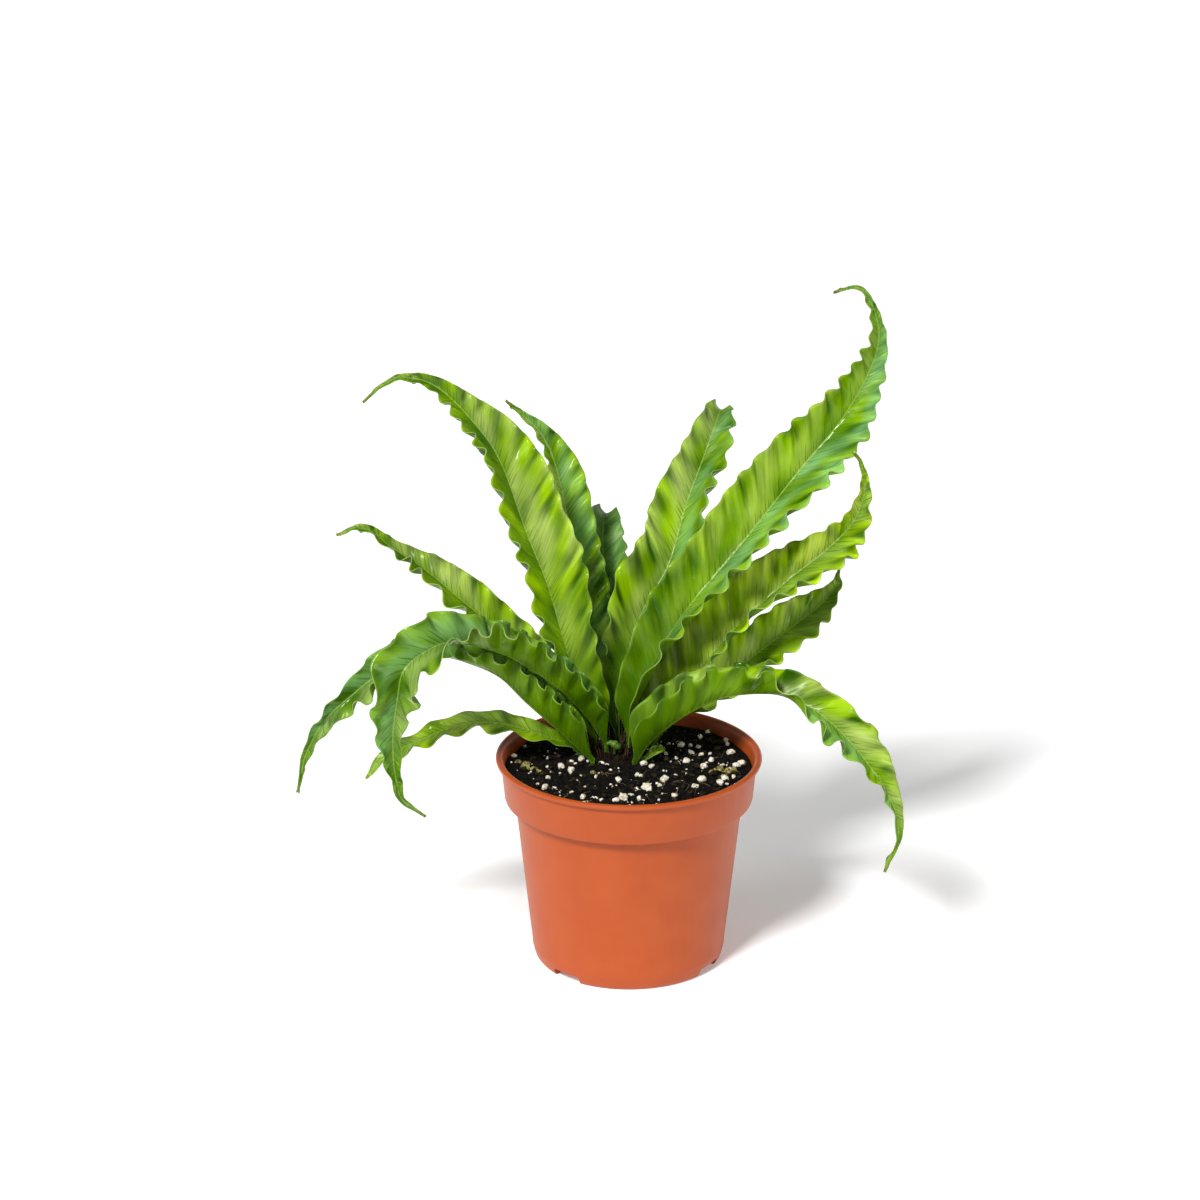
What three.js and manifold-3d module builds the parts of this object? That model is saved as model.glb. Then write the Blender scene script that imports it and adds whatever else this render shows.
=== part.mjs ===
// A potted bird's nest fern with narrow, ruffled fronds, in a plastic nursery pot.
// Units are millimetres. +Z is up, +X is to the right and +Y points away from the front.
// The pieces are placed from the middle of the pot's underside. The finished plant is then moved so
// that the origin is the middle of its footprint, on the surface that the pot stands on.
import * as THREE from 'three';
import { mergeVertices } from 'three/addons/utils/BufferGeometryUtils.js';
import Module from 'manifold-3d';

const wasm = await Module();
wasm.setup();

// Driving dimensions
const POT = {
  height: 86.2,
  wall: 1.3,
  rimRadius: 53, // the rounded bead round the mouth
  beadHeight: 2.6,
  bandTopRadius: 51, // the deep band below the bead
  bandFootRadius: 49.6,
  bandFootHeight: 69.2, // where the band steps in to the body
  bodyTopRadius: 45.4,
  bodyTopHeight: 67.4,
  bodyFootRadius: 38.6,
  footRadius: 36.6, // where the rounded lower edge meets the ground
  footRounding: 5,
  floorHeight: 4.2, // the underside of the raised floor, between the feet
  sides: 44,
};
const NOTCH = { width: 13, height: 3.4, bearings: [-41, 59, 139, 239] }; // degrees from the front
const DRAIN = { radius: 3.6, ringRadius: 22, count: 6 };

const GAP = 0.35; // clearance between pieces that touch
const SOIL = { level: 80, relief: 1.5, bank: 1.2, rings: 7, sectors: 36, clearance: 0.45 };
const CROWN = { x: -5, y: 11, radius: 12, rise: 4.5, depth: 9, sides: 20 };
const GRAIN = { count: 44, smallest: 0.9, largest: 2.3, seed: 11 };

const VEIN_SWEEP = 0.75; // how far a vein runs toward the tip for each unit that it runs outward
const WAVE_SAMPLES = 5; // stations along the rib in one ruffle
const ROOT = {
  depth: 7, halfWidth: 1.5, holeRadius: 2.2, mouthRadius: 3.2, holeLength: 16, steps: 2, opening: 8,
};
const BLADE = { ribThickness: 1.7, tipRibThickness: 0.9, edgeThickness: 0.7 };

// Each frond's rib runs through these points, from the crown to the tip. Half widths, folds
// (degrees that each half stands up from flat) and twists (degrees that the face turns clockwise,
// seen from the tip) are spread evenly from base to tip. Ruffles are the heights of the wave at the
// blade's edge, at the base and at the tip; waves are its lengths there. Where a frond is lopsided,
// the right half is wider, and the left half narrower, by these shares of the half width.
const FRONDS = [
  {
    name: 'frond_right_tall',
    rib: [[0.5, 12.5, 87], [6, 17, 107], [20, 26, 133], [43.8, 38, 159.6], [68.5, 50, 189],
      [86, 58, 209], [97.5, 64, 230], [99, 65, 245], [92, 64, 260], [81, 60, 260]],
    halfWidths: [9, 13.5, 17, 18.8, 18.6, 14.8, 8.2, 2.6, 0.5],
    folds: [62, 48, 40, 35, 30, 30],
    twists: [10, 29, 30, 49, 66, 85],
    lopsided: [0, 0, 0.02, 0.01, 0.08, 0.06, -0.06, -0.14, 0],
    ruffles: [1.9, 2], waves: [12.5, 8.5], phase: 0.2,
  },
  {
    name: 'frond_left_tall',
    rib: [[-9.8, 12.6, 87.5], [-18.5, 16, 105], [-25, 21, 122], [-33, 30, 147], [-41.5, 36, 167],
      [-52, 42, 195], [-63, 44, 211], [-77, 44, 225], [-90, 40, 230], [-99, 36, 227], [-105, 33, 222]],
    halfWidths: [9, 13.5, 16.6, 16.6, 16.8, 13.8, 6.8, 2.1, 0.5],
    folds: [62, 48, 42, 38, 30, 30],
    twists: [5, -31, -21, -12, -13, -20],
    lopsided: [0, -0.02, 0.1, 0.12, 0.04, -0.1, -0.06, 0, 0],
    ruffles: [1.5, 1.3], waves: [11, 9.5], phase: 1.4,
  },
  {
    name: 'frond_middle',
    rib: [[-4, 16, 87], [-4, 25, 101], [4, 40, 128.2], [16, 51, 147.7], [23, 60.5, 169.9], [30, 68, 188], [35, 75, 200.5], [37, 83, 203.5], [38, 92, 198]],
    halfWidths: [8.5, 12.5, 16.2, 18.4, 17.6, 14.6, 11.6, 6.6, 0.5],
    folds: [62, 48, 42, 38, 32, 30],
    twists: [10, 32, 19, 12, 27, 40],
    lopsided: [0, 0, 0, 0.04, 0.13, 0.12, 0.14, 0, 0],
    ruffles: [1.6, 1.6], waves: [12, 10], phase: 2.2,
  },
  {
    name: 'frond_left_inner',
    rib: [[-9, 19, 86.5], [-15.5, 41, 110], [-22, 61, 140.5], [-28, 74, 173], [-35, 80, 192], [-45, 82, 202.6], [-50.5, 80, 208]],
    halfWidths: [8, 10.5, 14, 15.5, 16.2, 13, 7, 2.8, 0.5],
    folds: [72, 50, 42, 38, 30, 30],
    twists: [15, 0, 3, 7, 7, -10],
    lopsided: [0, 0, -0.04, -0.14, -0.26, -0.16, 0.2, 0.2, 0],
    ruffles: [1.5, 1.5], waves: [11, 9], phase: 0.9,
  },
  {
    name: 'frond_back',
    rib: [[-2.5, 20, 86], [-3, 50, 109], [-10, 74, 134], [-11, 90, 150], [-10, 104, 151.5], [-8, 116, 144]],
    halfWidths: [6.5, 8, 11, 12.5, 11.5, 8.5, 4.8, 0.5],
    folds: [72, 50, 42, 38, 30, 30],
    twists: [0, 0, 0],
    ruffles: [1.4, 1.4], waves: [10.5, 9.5], phase: 2.9,
  },
  {
    name: 'frond_right_mid',
    rib: [[5, 10.4, 86], [13.8, 18, 95.6], [26, 26, 108.6], [44, 31, 129.2], [64, 35, 147.2], [80, 39.5, 159.4], [90, 41, 170.6], [94, 41, 184.6], [92, 38, 195.6], [89, 35, 200.6]],
    halfWidths: [8.5, 12.5, 14.6, 15.5, 15.8, 12.4, 6.8, 2.4, 0.5],
    folds: [62, 48, 42, 38, 30, 30],
    twists: [15, 38, 33, 53, 72, 88],
    lopsided: [-0.2, -0.3, -0.22, -0.06, 0.12, 0.24, 0.25, 0.1, 0],
    ruffles: [1.7, 1.9], waves: [11.5, 9], phase: 0.5,
  },
  {
    name: 'frond_right_low',
    rib: [[9.5, 17, 82.6], [18.5, 23.5, 91], [31, 32.5, 97.5], [46, 42, 107.6], [61, 48, 118], [77, 56, 128],
      [84, 60, 135], [86, 62, 143]],
    halfWidths: [7, 10.3, 12, 12.8, 12.6, 11.8, 8.6, 4, 0.5],
    folds: [62, 48, 40, 34, 30, 30],
    twists: [15, 45, 41, 45, 45, 40],
    lopsided: [-0.1, -0.15, -0.05, 0, 0.05, 0.05, 0.05, 0, 0],
    ruffles: [1.6, 1.6], waves: [11.5, 9.5], phase: 1.9,
  },
  {
    name: 'frond_right_arching',
    rib: [[2.8, -1.5, 82.4], [9, -2, 92.5], [23, -3, 104.5], [38, -6, 113], [55, -11, 116.5],
      [65.5, -15, 115], [77, -20, 109.5], [89.8, -24, 97], [101.5, -27, 80], [106, -28, 64],
      [101, -28, 48]],
    halfWidths: [10, 13.4, 13, 10.6, 10.6, 8.5, 4.5, 1.7, 0.5],
    folds: [72, 62, 50, 36, 30, 30],
    twists: [20, 12, -3, -8, 13, 40, 47, 38, 34, 55, 70],
    lopsided: [-0.15, -0.1, 0, 0.05, 0.06, -0.2, -0.32, -0.15, 0],
    ruffles: [1.8, 2.8], waves: [8.8, 15.5], phase: 2.4,
  },
  {
    name: 'frond_left_mid',
    rib: [[-13.8, 15, 86], [-26, 23, 99], [-39, 29, 112.7], [-52, 31.5, 125.4], [-68, 32, 139.6], [-81.5, 36, 150], [-95, 38, 159], [-106.5, 38, 167.5], [-117, 36, 165.5]],
    halfWidths: [7, 10.5, 12, 11.6, 12.6, 10, 5.6, 2.6, 0.5],
    folds: [72, 50, 42, 38, 30, 30],
    twists: [-20, -49, -41, -34, -25, -50],
    lopsided: [0, 0, -0.05, -0.12, -0.14, -0.14, -0.1, 0, 0],
    ruffles: [1.7, 1.7], waves: [11.5, 10], phase: 0.1,
  },
  {
    name: 'frond_left_arching',
    rib: [[-9.5, 7.5, 87], [-17, 4, 100.6], [-27, -1, 113.6], [-39, -6, 125], [-50, -13, 134],
      [-62, -20, 140], [-73, -28, 143], [-86, -37, 137], [-89, -41, 126], [-91, -44, 110],
      [-90, -46, 94], [-87, -46, 85], [-79, -44, 78]],
    halfWidths: [8.5, 10.8, 11.6, 13, 13.6, 12.2, 6.2, 2.5, 0.5],
    folds: [72, 62, 52, 38, 30, 30],
    twists: [-35, -30, -13, -13, -16, -30, -45, -52, -53, -64, -70],
    lopsided: [0, 0, -0.02, -0.12, -0.14, -0.06, 0.25, 0, 0],
    ruffles: [1.8, 2.6], waves: [8.8, 14], phase: 1.1,
  },
  {
    name: 'frond_left_drooping',
    rib: [[-15, 1.2, 82.4], [-27.5, -0.2, 95.7], [-40.5, -1.4, 108.6], [-51, -3, 120], [-63, -6, 127], [-74, -9, 131], [-86, -12, 131], [-96, -15, 127], [-108, -18, 118.3], [-119.5, -20, 107.6], [-126.6, -22, 94.3], [-130.2, -22, 78.5]],
    halfWidths: [9.5, 11.5, 11, 9.7, 10.3, 8.2, 4.6, 2.2, 0.5],
    folds: [72, 62, 50, 40, 32, 30],
    twists: [-20, -8, -2, -10, -18, -34, -38, -57, -76, -62, -70],
    lopsided: [0, 0, 0, -0.08, -0.12, -0.18, -0.2, -0.1, 0],
    ruffles: [1.8, 2.4], waves: [8.8, 14], phase: 2.0,
  },
  {
    name: 'frond_left_low',
    rib: [[-19.6, 8, 82.4], [-24, 7, 87], [-32, 6, 90.5], [-42, 4, 95], [-55, 2, 98.5],
      [-69, -1, 98], [-83, -4, 93], [-97, -7, 87], [-104, -9, 79]],
    halfWidths: [3, 4.5, 5.7, 6.2, 6.6, 6.2, 5.4, 2.8, 0.5],
    folds: [60, 30, 18, 15, 15, 15],
    twists: [-50, -39, -18, -12, -15, -50],
    lopsided: [0, -0.1, -0.15, -0.15, -0.15, -0.15, -0.1, 0, 0],
    ruffles: [1.8, 1.6], waves: [13, 15], phase: 0.6,
  },
  {
    name: 'seedling_leaf',
    rib: [[6.4, 0.5, 83.2], [9.5, 2.4, 85.4], [12, 4.6, 86], [14.3, 6.6, 85.6]],
    halfWidths: [1.2, 2.2, 1.8, 0.4],
    folds: [40, 25, 20],
    twists: [20, 30, 40],
    ruffles: [0.3, 0.3], waves: [6, 6], phase: 0,
  },
];
const SPROUT = { x: -5.8, y: 5.8, base: 80, neck: 86.6, top: 90.2, stalkRadius: 0.9, budRadius: 1.7 };

// Colours
const LEAF = new THREE.MeshStandardMaterial({ color: 0x5f9a1c, roughness: 0.42, metalness: 0 });
const PLASTIC = new THREE.MeshStandardMaterial({ color: 0xd2693f, roughness: 0.45, metalness: 0 });
const PEAT = new THREE.MeshStandardMaterial({ color: 0x1d1712, roughness: 0.95, metalness: 0 });
const CROWN_FIBRE = new THREE.MeshStandardMaterial({ color: 0x2b1d12, roughness: 0.9, metalness: 0 });

const radians = THREE.MathUtils.degToRad;
const vector = (point) => new THREE.Vector3(...point);

// A repeatable random number from 0 to 1
function randomFrom(seed) {
  let state = seed >>> 0;
  return () => {
    state = (Math.imul(state, 1664525) + 1013904223) >>> 0;
    return state / 4294967296;
  };
}

// A smooth value at share t of a list whose values are evenly spread
function spread(values, t) {
  const place = Math.min(Math.max(t, 0), 1) * (values.length - 1);
  const i = Math.min(Math.floor(place), values.length - 2);
  const u = place - i;
  const before = values[Math.max(i - 1, 0)];
  const after = values[Math.min(i + 2, values.length - 1)];
  const slope0 = (values[i + 1] - before) / 2;
  const slope1 = (after - values[i]) / 2;
  const u2 = u * u;
  const u3 = u2 * u;
  return values[i] * (2 * u3 - 3 * u2 + 1) + slope0 * (u3 - 2 * u2 + u)
    + values[i + 1] * (3 * u2 - 2 * u3) + slope1 * (u3 - u2);
}

const ease = (low, high, x) => THREE.MathUtils.smoothstep(x, low, high);

// A solid for cutting and joining, without the empty triangles that a turned shape has on its axis
function solidFrom(geometry) {
  const bare = geometry.clone();
  bare.deleteAttribute('normal');
  bare.deleteAttribute('uv');
  const merged = mergeVertices(bare, 1e-4);
  const corners = merged.index.array;
  const kept = [];
  for (let i = 0; i < corners.length; i += 3) {
    const triangle = corners.slice(i, i + 3);
    if (new Set(triangle).size === 3) kept.push(...triangle);
  }
  return new wasm.Manifold(new wasm.Mesh({
    numProp: 3,
    vertProperties: merged.attributes.position.array,
    triVerts: new Uint32Array(kept),
  }));
}

function geometryFrom(solid) {
  const mesh = solid.getMesh();
  const geometry = new THREE.BufferGeometry();
  geometry.setAttribute('position', new THREE.BufferAttribute(mesh.vertProperties, 3));
  geometry.setIndex(new THREE.BufferAttribute(mesh.triVerts, 1));
  geometry.computeVertexNormals();
  return geometry;
}

// A solid turned about +Z, from an anticlockwise outline of [radius, height] points
function turned(outline, sides) {
  const points = [...outline, outline[0]].map(([radius, height]) => new THREE.Vector2(radius, height));
  return solidFrom(new THREE.LatheGeometry(points, sides).rotateX(Math.PI / 2));
}

// An upright solid cylinder or cone, from its foot's height
function upright({ x, y, foot, length, footRadius, topRadius, sides }) {
  const column = new THREE.CylinderGeometry(topRadius, footRadius, length, sides).rotateX(Math.PI / 2);
  return solidFrom(column.translate(x, y, foot + length / 2));
}

// Stations along the rib, a fixed number to each ruffle, with the tangent, the upper side and the
// side direction at each. The first few run down into the root.
function ribStations(frond) {
  const points = frond.rib.map(vector);
  const curve = new THREE.CatmullRomCurve3(points, false, 'catmullrom', 0.5);
  const length = curve.getLength();
  const shares = [];
  for (let reached = 0; reached < length;) {
    shares.push(reached / length);
    reached += THREE.MathUtils.lerp(...frond.waves, reached / length) / WAVE_SAMPLES;
  }
  shares.push(1);
  let upper = points[0].clone().sub(points[Math.floor(points.length / 2)]).setZ(0);
  const stations = [];
  for (let i = -ROOT.steps; i < shares.length; i += 1) {
    const t = i < 0 ? 0 : shares[i];
    const tangent = i < 0 ? new THREE.Vector3(0, 0, 1) : curve.getTangentAt(t);
    const place = curve.getPointAt(t);
    place.z += Math.min(i, 0) * (ROOT.depth / ROOT.steps);
    upper = upper.clone().addScaledVector(tangent, -upper.dot(tangent)).normalize();
    const normal = upper.clone().applyAxisAngle(tangent, radians(spread(frond.twists, t)));
    const side = new THREE.Vector3().crossVectors(tangent, normal);
    const phase = (2 * Math.PI * Math.max(i, 0)) / WAVE_SAMPLES;
    stations.push({ t, height: t * length, inRoot: i < 0, place, tangent, normal, side, phase });
  }
  return stations;
}

// The width of one half of the blade; it opens out from the narrow root just above the crown
function halfWidthAt(frond, { t, height }, hand) {
  const lopsided = hand * spread(frond.lopsided ?? [0, 0], t);
  const full = Math.max(spread(frond.halfWidths, t) * (1 + lopsided), 0.4);
  return THREE.MathUtils.lerp(ROOT.halfWidth, full, ease(-1, ROOT.opening, height));
}

// The wave of the blade's edge, for the left (-1) or right (+1) half
function ruffleAt(frond, station, hand) {
  const { t, phase } = station;
  const offset = frond.phase + (hand > 0 ? 0 : 2.1);
  const wander = 0.5 * Math.sin(phase / 3.7 + offset * 2);
  const swell = 1 + 0.35 * Math.sin(phase / 2.6 + offset * 5);
  const height = THREE.MathUtils.lerp(...frond.ruffles, t);
  const size = height * ease(0.02, 0.2, t) * Math.min(1, halfWidthAt(frond, station, hand) / 8);
  return { size: size * swell, angle: phase + offset + wander };
}

// A point of the blade's middle surface: across runs from -1 at the left edge to +1 at the right
function bladePoint(frond, station, across) {
  const { t, place, tangent, normal, side } = station;
  const hand = Math.sign(across) || 1;
  const reach = Math.abs(across);
  const width = halfWidthAt(frond, station, hand);
  const fold = radians(spread(frond.folds, t));
  const outward = side.clone().multiplyScalar(hand * Math.cos(fold))
    .addScaledVector(normal, Math.sin(fold));
  const face = side.clone().multiplyScalar(-hand * Math.sin(fold))
    .addScaledVector(normal, Math.cos(fold));
  const { size, angle } = ruffleAt(frond, station, hand);
  const crest = 1.27 - 2 * Math.sqrt(Math.cos(angle / 2) ** 2 + 0.03);
  return place.clone()
    .addScaledVector(outward, width * reach)
    .addScaledVector(tangent, VEIN_SWEEP * width * reach)
    .addScaledVector(face, size * crest * reach);
}

// A frond: a thin folded blade with a thicker rib, closed at its root and tip
function frondGeometry(frond) {
  const stations = ribStations(frond);
  const columns = [-1, 0, 1];
  const middle = stations.map((station) => columns.map((across) => (
    !station.inRoot || across === 0 ? bladePoint(frond, station, across)
      : station.place.clone().addScaledVector(station.side, across * ROOT.halfWidth))));
  const positions = [];
  const rowSize = 2 * columns.length;
  middle.forEach((row, i) => {
    const before = middle[Math.max(i - 1, 0)];
    const after = middle[Math.min(i + 1, middle.length - 1)];
    const { t } = stations[i];
    const normals = row.map((point, j) => {
      const along = after[j].clone().sub(before[j]);
      const across = row[Math.min(j + 1, 2)].clone().sub(row[Math.max(j - 1, 0)]);
      return along.cross(across).negate().normalize();
    });
    const thickness = row.map((point, j) => (j === 1
      ? THREE.MathUtils.lerp(BLADE.ribThickness, BLADE.tipRibThickness, t) : BLADE.edgeThickness));
    const upperSide = row.map((point, j) => point.clone().addScaledVector(normals[j], thickness[j] / 2));
    const lowerSide = row.map((point, j) => point.clone().addScaledVector(normals[j], -thickness[j] / 2));
    [...upperSide, ...lowerSide.reverse()].forEach((point) => positions.push(...point.toArray()));
  });
  const index = [];
  for (let i = 0; i < middle.length - 1; i += 1) {
    for (let k = 0; k < rowSize; k += 1) {
      const a = i * rowSize + k;
      const b = i * rowSize + ((k + 1) % rowSize);
      const c = a + rowSize;
      const d = b + rowSize;
      // The lower faces repeat the upper faces' diagonals, so the two sides never cross
      if (k < columns.length - 1) index.push(a, b, c, b, d, c);
      else index.push(a, d, c, a, b, d);
    }
  }
  const capAt = (first, flip) => {
    const quads = [[0, 1, 4], [0, 4, 5], [1, 2, 3], [1, 3, 4]];
    quads.forEach(([p, q, r]) => index.push(first + p, first + (flip ? q : r), first + (flip ? r : q)));
  };
  capAt(0, false);
  capAt((middle.length - 1) * rowSize, true);
  const geometry = new THREE.BufferGeometry();
  geometry.setAttribute('position', new THREE.Float32BufferAttribute(positions, 3));
  geometry.setIndex(index);
  geometry.computeVertexNormals();
  return geometry;
}

// The plain upright hole that a frond's root stands in, a little wider at its mouth
function rootHole(frond) {
  const [x, y, z] = frond.rib[0];
  const foot = z - ROOT.depth - GAP;
  const { holeRadius: footRadius, mouthRadius: topRadius, holeLength: length } = ROOT;
  return upright({ x, y, foot, length, footRadius, topRadius, sides: 10 });
}

// The pot's outside radius at a height, on the tapered body
function bodyRadius(height) {
  const share = (height - POT.footRounding) / (POT.bodyTopHeight - POT.footRounding);
  return THREE.MathUtils.lerp(POT.bodyFootRadius, POT.bodyTopRadius, share);
}

function potGeometry() {
  const { height, wall, rimRadius, beadHeight } = POT;
  const floorTop = POT.floorHeight + wall;
  const outline = [
    [0, POT.floorHeight],
    [POT.footRadius - 3.2, POT.floorHeight], [POT.footRadius - 2.2, 0], [POT.footRadius, 0],
    [POT.footRadius + 1.5, 1.8], [POT.bodyFootRadius, POT.footRounding],
    [POT.bodyTopRadius, POT.bodyTopHeight], [POT.bandFootRadius - 0.8, POT.bodyTopHeight + 0.6],
    [POT.bandFootRadius, POT.bandFootHeight],
    [POT.bandTopRadius, height - beadHeight], [rimRadius - 0.4, height - beadHeight + 0.3],
    [rimRadius, height - beadHeight / 2], [rimRadius - 0.5, height - 0.2], [rimRadius - 1.3, height],
    [rimRadius - 2.4, height - 0.5], [POT.bandTopRadius - wall, height - beadHeight],
    [POT.bandFootRadius - wall, POT.bandFootHeight + wall],
    [POT.bodyTopRadius - wall, POT.bodyTopHeight + 0.4],
    [bodyRadius(floorTop + 4) - wall, floorTop + 4], [POT.bodyFootRadius - wall - 2, floorTop],
    [0, floorTop],
  ];
  let solid = turned(outline, POT.sides);
  NOTCH.bearings.forEach((bearing) => {
    const notch = new THREE.BoxGeometry(NOTCH.width, 16, 2 * NOTCH.height);
    notch.translate(0, -POT.footRadius, 0);
    notch.rotateZ(radians(bearing));
    solid = solid.subtract(solidFrom(notch));
  });
  for (let i = 0; i < DRAIN.count; i += 1) {
    const angle = (i * 2 * Math.PI) / DRAIN.count;
    const x = DRAIN.ringRadius * Math.cos(angle);
    const y = DRAIN.ringRadius * Math.sin(angle);
    const radii = { footRadius: DRAIN.radius, topRadius: DRAIN.radius };
    solid = solid.subtract(upright({ x, y, foot: 0, length: 12, ...radii, sides: 12 }));
  }
  return geometryFrom(solid);
}

// The soil's surface height: gentle waves, and a low bank round the crown
function soilHeight(x, y) {
  const waves = Math.sin(x / 9 + 1.3) * Math.cos(y / 8 - 0.4) + 0.6 * Math.sin(x / 4.1 + y / 5.3);
  const away = Math.hypot(x - CROWN.x, y - CROWN.y);
  return SOIL.level + SOIL.relief * 0.5 * waves + SOIL.bank * (1 - ease(14, 32, away));
}

function soilGeometry(holes) {
  const { rings, sectors } = SOIL;
  const floorTop = POT.floorHeight + POT.wall + GAP;
  const inset = POT.wall + SOIL.clearance;
  const topRadius = POT.bandFootRadius - inset;
  const side = [
    [POT.bodyFootRadius - inset - 3, floorTop], [bodyRadius(floorTop + 5) - inset, floorTop + 5],
    [POT.bodyTopRadius - inset, POT.bodyTopHeight + 0.8], [topRadius, POT.bandFootHeight + 2],
  ];
  const positions = [0, 0, floorTop];
  const index = [];
  side.forEach(([radius, height]) => {
    for (let j = 0; j < sectors; j += 1) {
      const angle = (2 * Math.PI * j) / sectors;
      positions.push(radius * Math.cos(angle), radius * Math.sin(angle), height);
    }
  });
  for (let i = 0; i < rings; i += 1) {
    const radius = topRadius * (1 - i / rings);
    for (let j = 0; j < sectors; j += 1) {
      const angle = (2 * Math.PI * j) / sectors;
      const x = radius * Math.cos(angle);
      const y = radius * Math.sin(angle);
      positions.push(x, y, soilHeight(x, y));
    }
  }
  positions.push(0, 0, soilHeight(0, 0));
  const last = positions.length / 3 - 1;
  for (let j = 0; j < sectors; j += 1) {
    const next = (j + 1) % sectors;
    index.push(0, 1 + next, 1 + j);
    for (let i = 0; i < rings + side.length - 1; i += 1) {
      const a = 1 + i * sectors;
      index.push(a + j, a + next, a + sectors + j, a + next, a + sectors + next, a + sectors + j);
    }
    const a = 1 + (rings + side.length - 1) * sectors;
    index.push(a + j, a + next, last);
  }
  const plug = new THREE.BufferGeometry();
  plug.setAttribute('position', new THREE.Float32BufferAttribute(positions, 3));
  plug.setIndex(index);
  let solid = solidFrom(plug);
  grains().forEach((grain) => { solid = solid.add(grain); });
  const well = upright({
    x: CROWN.x, y: CROWN.y, foot: SOIL.level - CROWN.depth - GAP, length: 40,
    footRadius: CROWN.radius + GAP, topRadius: CROWN.radius + GAP, sides: CROWN.sides,
  });
  solid = solid.subtract(well);
  holes.forEach((hole) => { solid = solid.subtract(hole); });
  return geometryFrom(solid);
}

// Perlite grains, half sunk in the soil's surface
function grains() {
  const random = randomFrom(GRAIN.seed);
  const made = [];
  while (made.length < GRAIN.count) {
    const away = 43 * Math.sqrt(random());
    const bearing = 2 * Math.PI * random();
    const x = away * Math.cos(bearing);
    const y = away * Math.sin(bearing);
    const size = GRAIN.smallest + (GRAIN.largest - GRAIN.smallest) * random() ** 2;
    const spin = random() * Math.PI;
    if (Math.hypot(x - CROWN.x, y - CROWN.y) < CROWN.radius + 4) continue;
    const grain = new THREE.IcosahedronGeometry(size, 0).scale(1, 0.8, 0.75).rotateZ(spin);
    grain.translate(x, y, soilHeight(x, y) + size * 0.25);
    made.push(solidFrom(grain));
  }
  return made;
}

// The crown that the fronds grow from: a low dome of fibrous scales in a plain well
function crownGeometry(holes) {
  const { radius, rise, depth, sides } = CROWN;
  const top = SOIL.level + 1;
  const outline = [[0, SOIL.level - depth], [radius, SOIL.level - depth], [radius, top]];
  for (let i = 1; i <= 4; i += 1) {
    const angle = (i / 4) * (Math.PI / 2);
    outline.push([radius * Math.cos(angle), top + rise * Math.sin(angle)]);
  }
  let solid = turned(outline, sides).translate(CROWN.x, CROWN.y, 0);
  holes.forEach((hole) => { solid = solid.subtract(hole); });
  return geometryFrom(solid);
}

// A young frond that is still a rounded bud on a short stalk
function sproutGeometry() {
  const { x, y, base, neck, top, stalkRadius, budRadius } = SPROUT;
  const waist = (neck + top) / 2;
  const outline = [[0, base], [stalkRadius, base], [stalkRadius, neck], [budRadius, waist - 0.5],
    [budRadius, waist + 0.5], [budRadius * 0.6, top - 0.3], [0, top]];
  return geometryFrom(turned(outline, 10).translate(x, y, 0));
}

function sproutHole() {
  const { x, y, base, stalkRadius } = SPROUT;
  const radius = stalkRadius + GAP;
  return upright({ x, y, foot: base - GAP, length: 20, footRadius: radius, topRadius: radius, sides: 10 });
}

function mesh(name, geometry, material) {
  const made = new THREE.Mesh(geometry, material);
  made.name = name;
  return made;
}

const plant = new THREE.Group();
const holes = [...FRONDS.map(rootHole), sproutHole()];
plant.add(mesh('pot', potGeometry(), PLASTIC));
plant.add(mesh('soil', soilGeometry(holes), PEAT));
plant.add(mesh('crown', crownGeometry(holes), CROWN_FIBRE));
plant.add(mesh('sprout', sproutGeometry(), LEAF));
FRONDS.forEach((frond) => plant.add(mesh(frond.name, frondGeometry(frond), LEAF)));

// The middle of the footprint becomes the origin
const footprint = new THREE.Box3().setFromObject(plant, true).getCenter(new THREE.Vector3());
plant.position.set(-footprint.x, -footprint.y, 0);

export default plant;
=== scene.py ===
"""A potted bird's nest fern with narrow, ruffled fronds, dressed for its looks.

Lengths whose names end in _mm, and the points of the fronds, are in millimetres from the
middle of the pot's underside. Everything else is in metres in the row's frame.
"""

import logging
import math
import random
from dataclasses import dataclass
from enum import Enum

import bpy
import numpy as np
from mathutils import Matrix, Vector, noise


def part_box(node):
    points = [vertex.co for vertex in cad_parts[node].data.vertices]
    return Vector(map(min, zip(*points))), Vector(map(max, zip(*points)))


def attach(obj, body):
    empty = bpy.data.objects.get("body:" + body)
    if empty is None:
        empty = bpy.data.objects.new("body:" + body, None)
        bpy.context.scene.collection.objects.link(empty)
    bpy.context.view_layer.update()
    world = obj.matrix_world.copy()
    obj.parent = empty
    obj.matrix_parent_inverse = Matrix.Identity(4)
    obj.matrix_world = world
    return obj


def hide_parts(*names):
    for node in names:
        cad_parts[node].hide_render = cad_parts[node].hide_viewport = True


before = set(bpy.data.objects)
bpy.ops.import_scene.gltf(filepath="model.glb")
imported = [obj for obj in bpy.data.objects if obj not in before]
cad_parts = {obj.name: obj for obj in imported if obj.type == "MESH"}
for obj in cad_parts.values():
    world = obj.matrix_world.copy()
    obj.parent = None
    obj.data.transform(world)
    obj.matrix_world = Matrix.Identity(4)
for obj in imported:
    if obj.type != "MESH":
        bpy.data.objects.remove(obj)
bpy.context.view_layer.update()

# Short names for the types in the hints
Piece = bpy.types.Object
Material = bpy.types.Material
Tree = bpy.types.NodeTree
Node = bpy.types.Node
Source = bpy.types.Node | bpy.types.NodeSocket
Array = np.ndarray
Pair = tuple[float, float]
Triple = tuple[float, float, float]
Colour = tuple[float, float, float, float]

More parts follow.
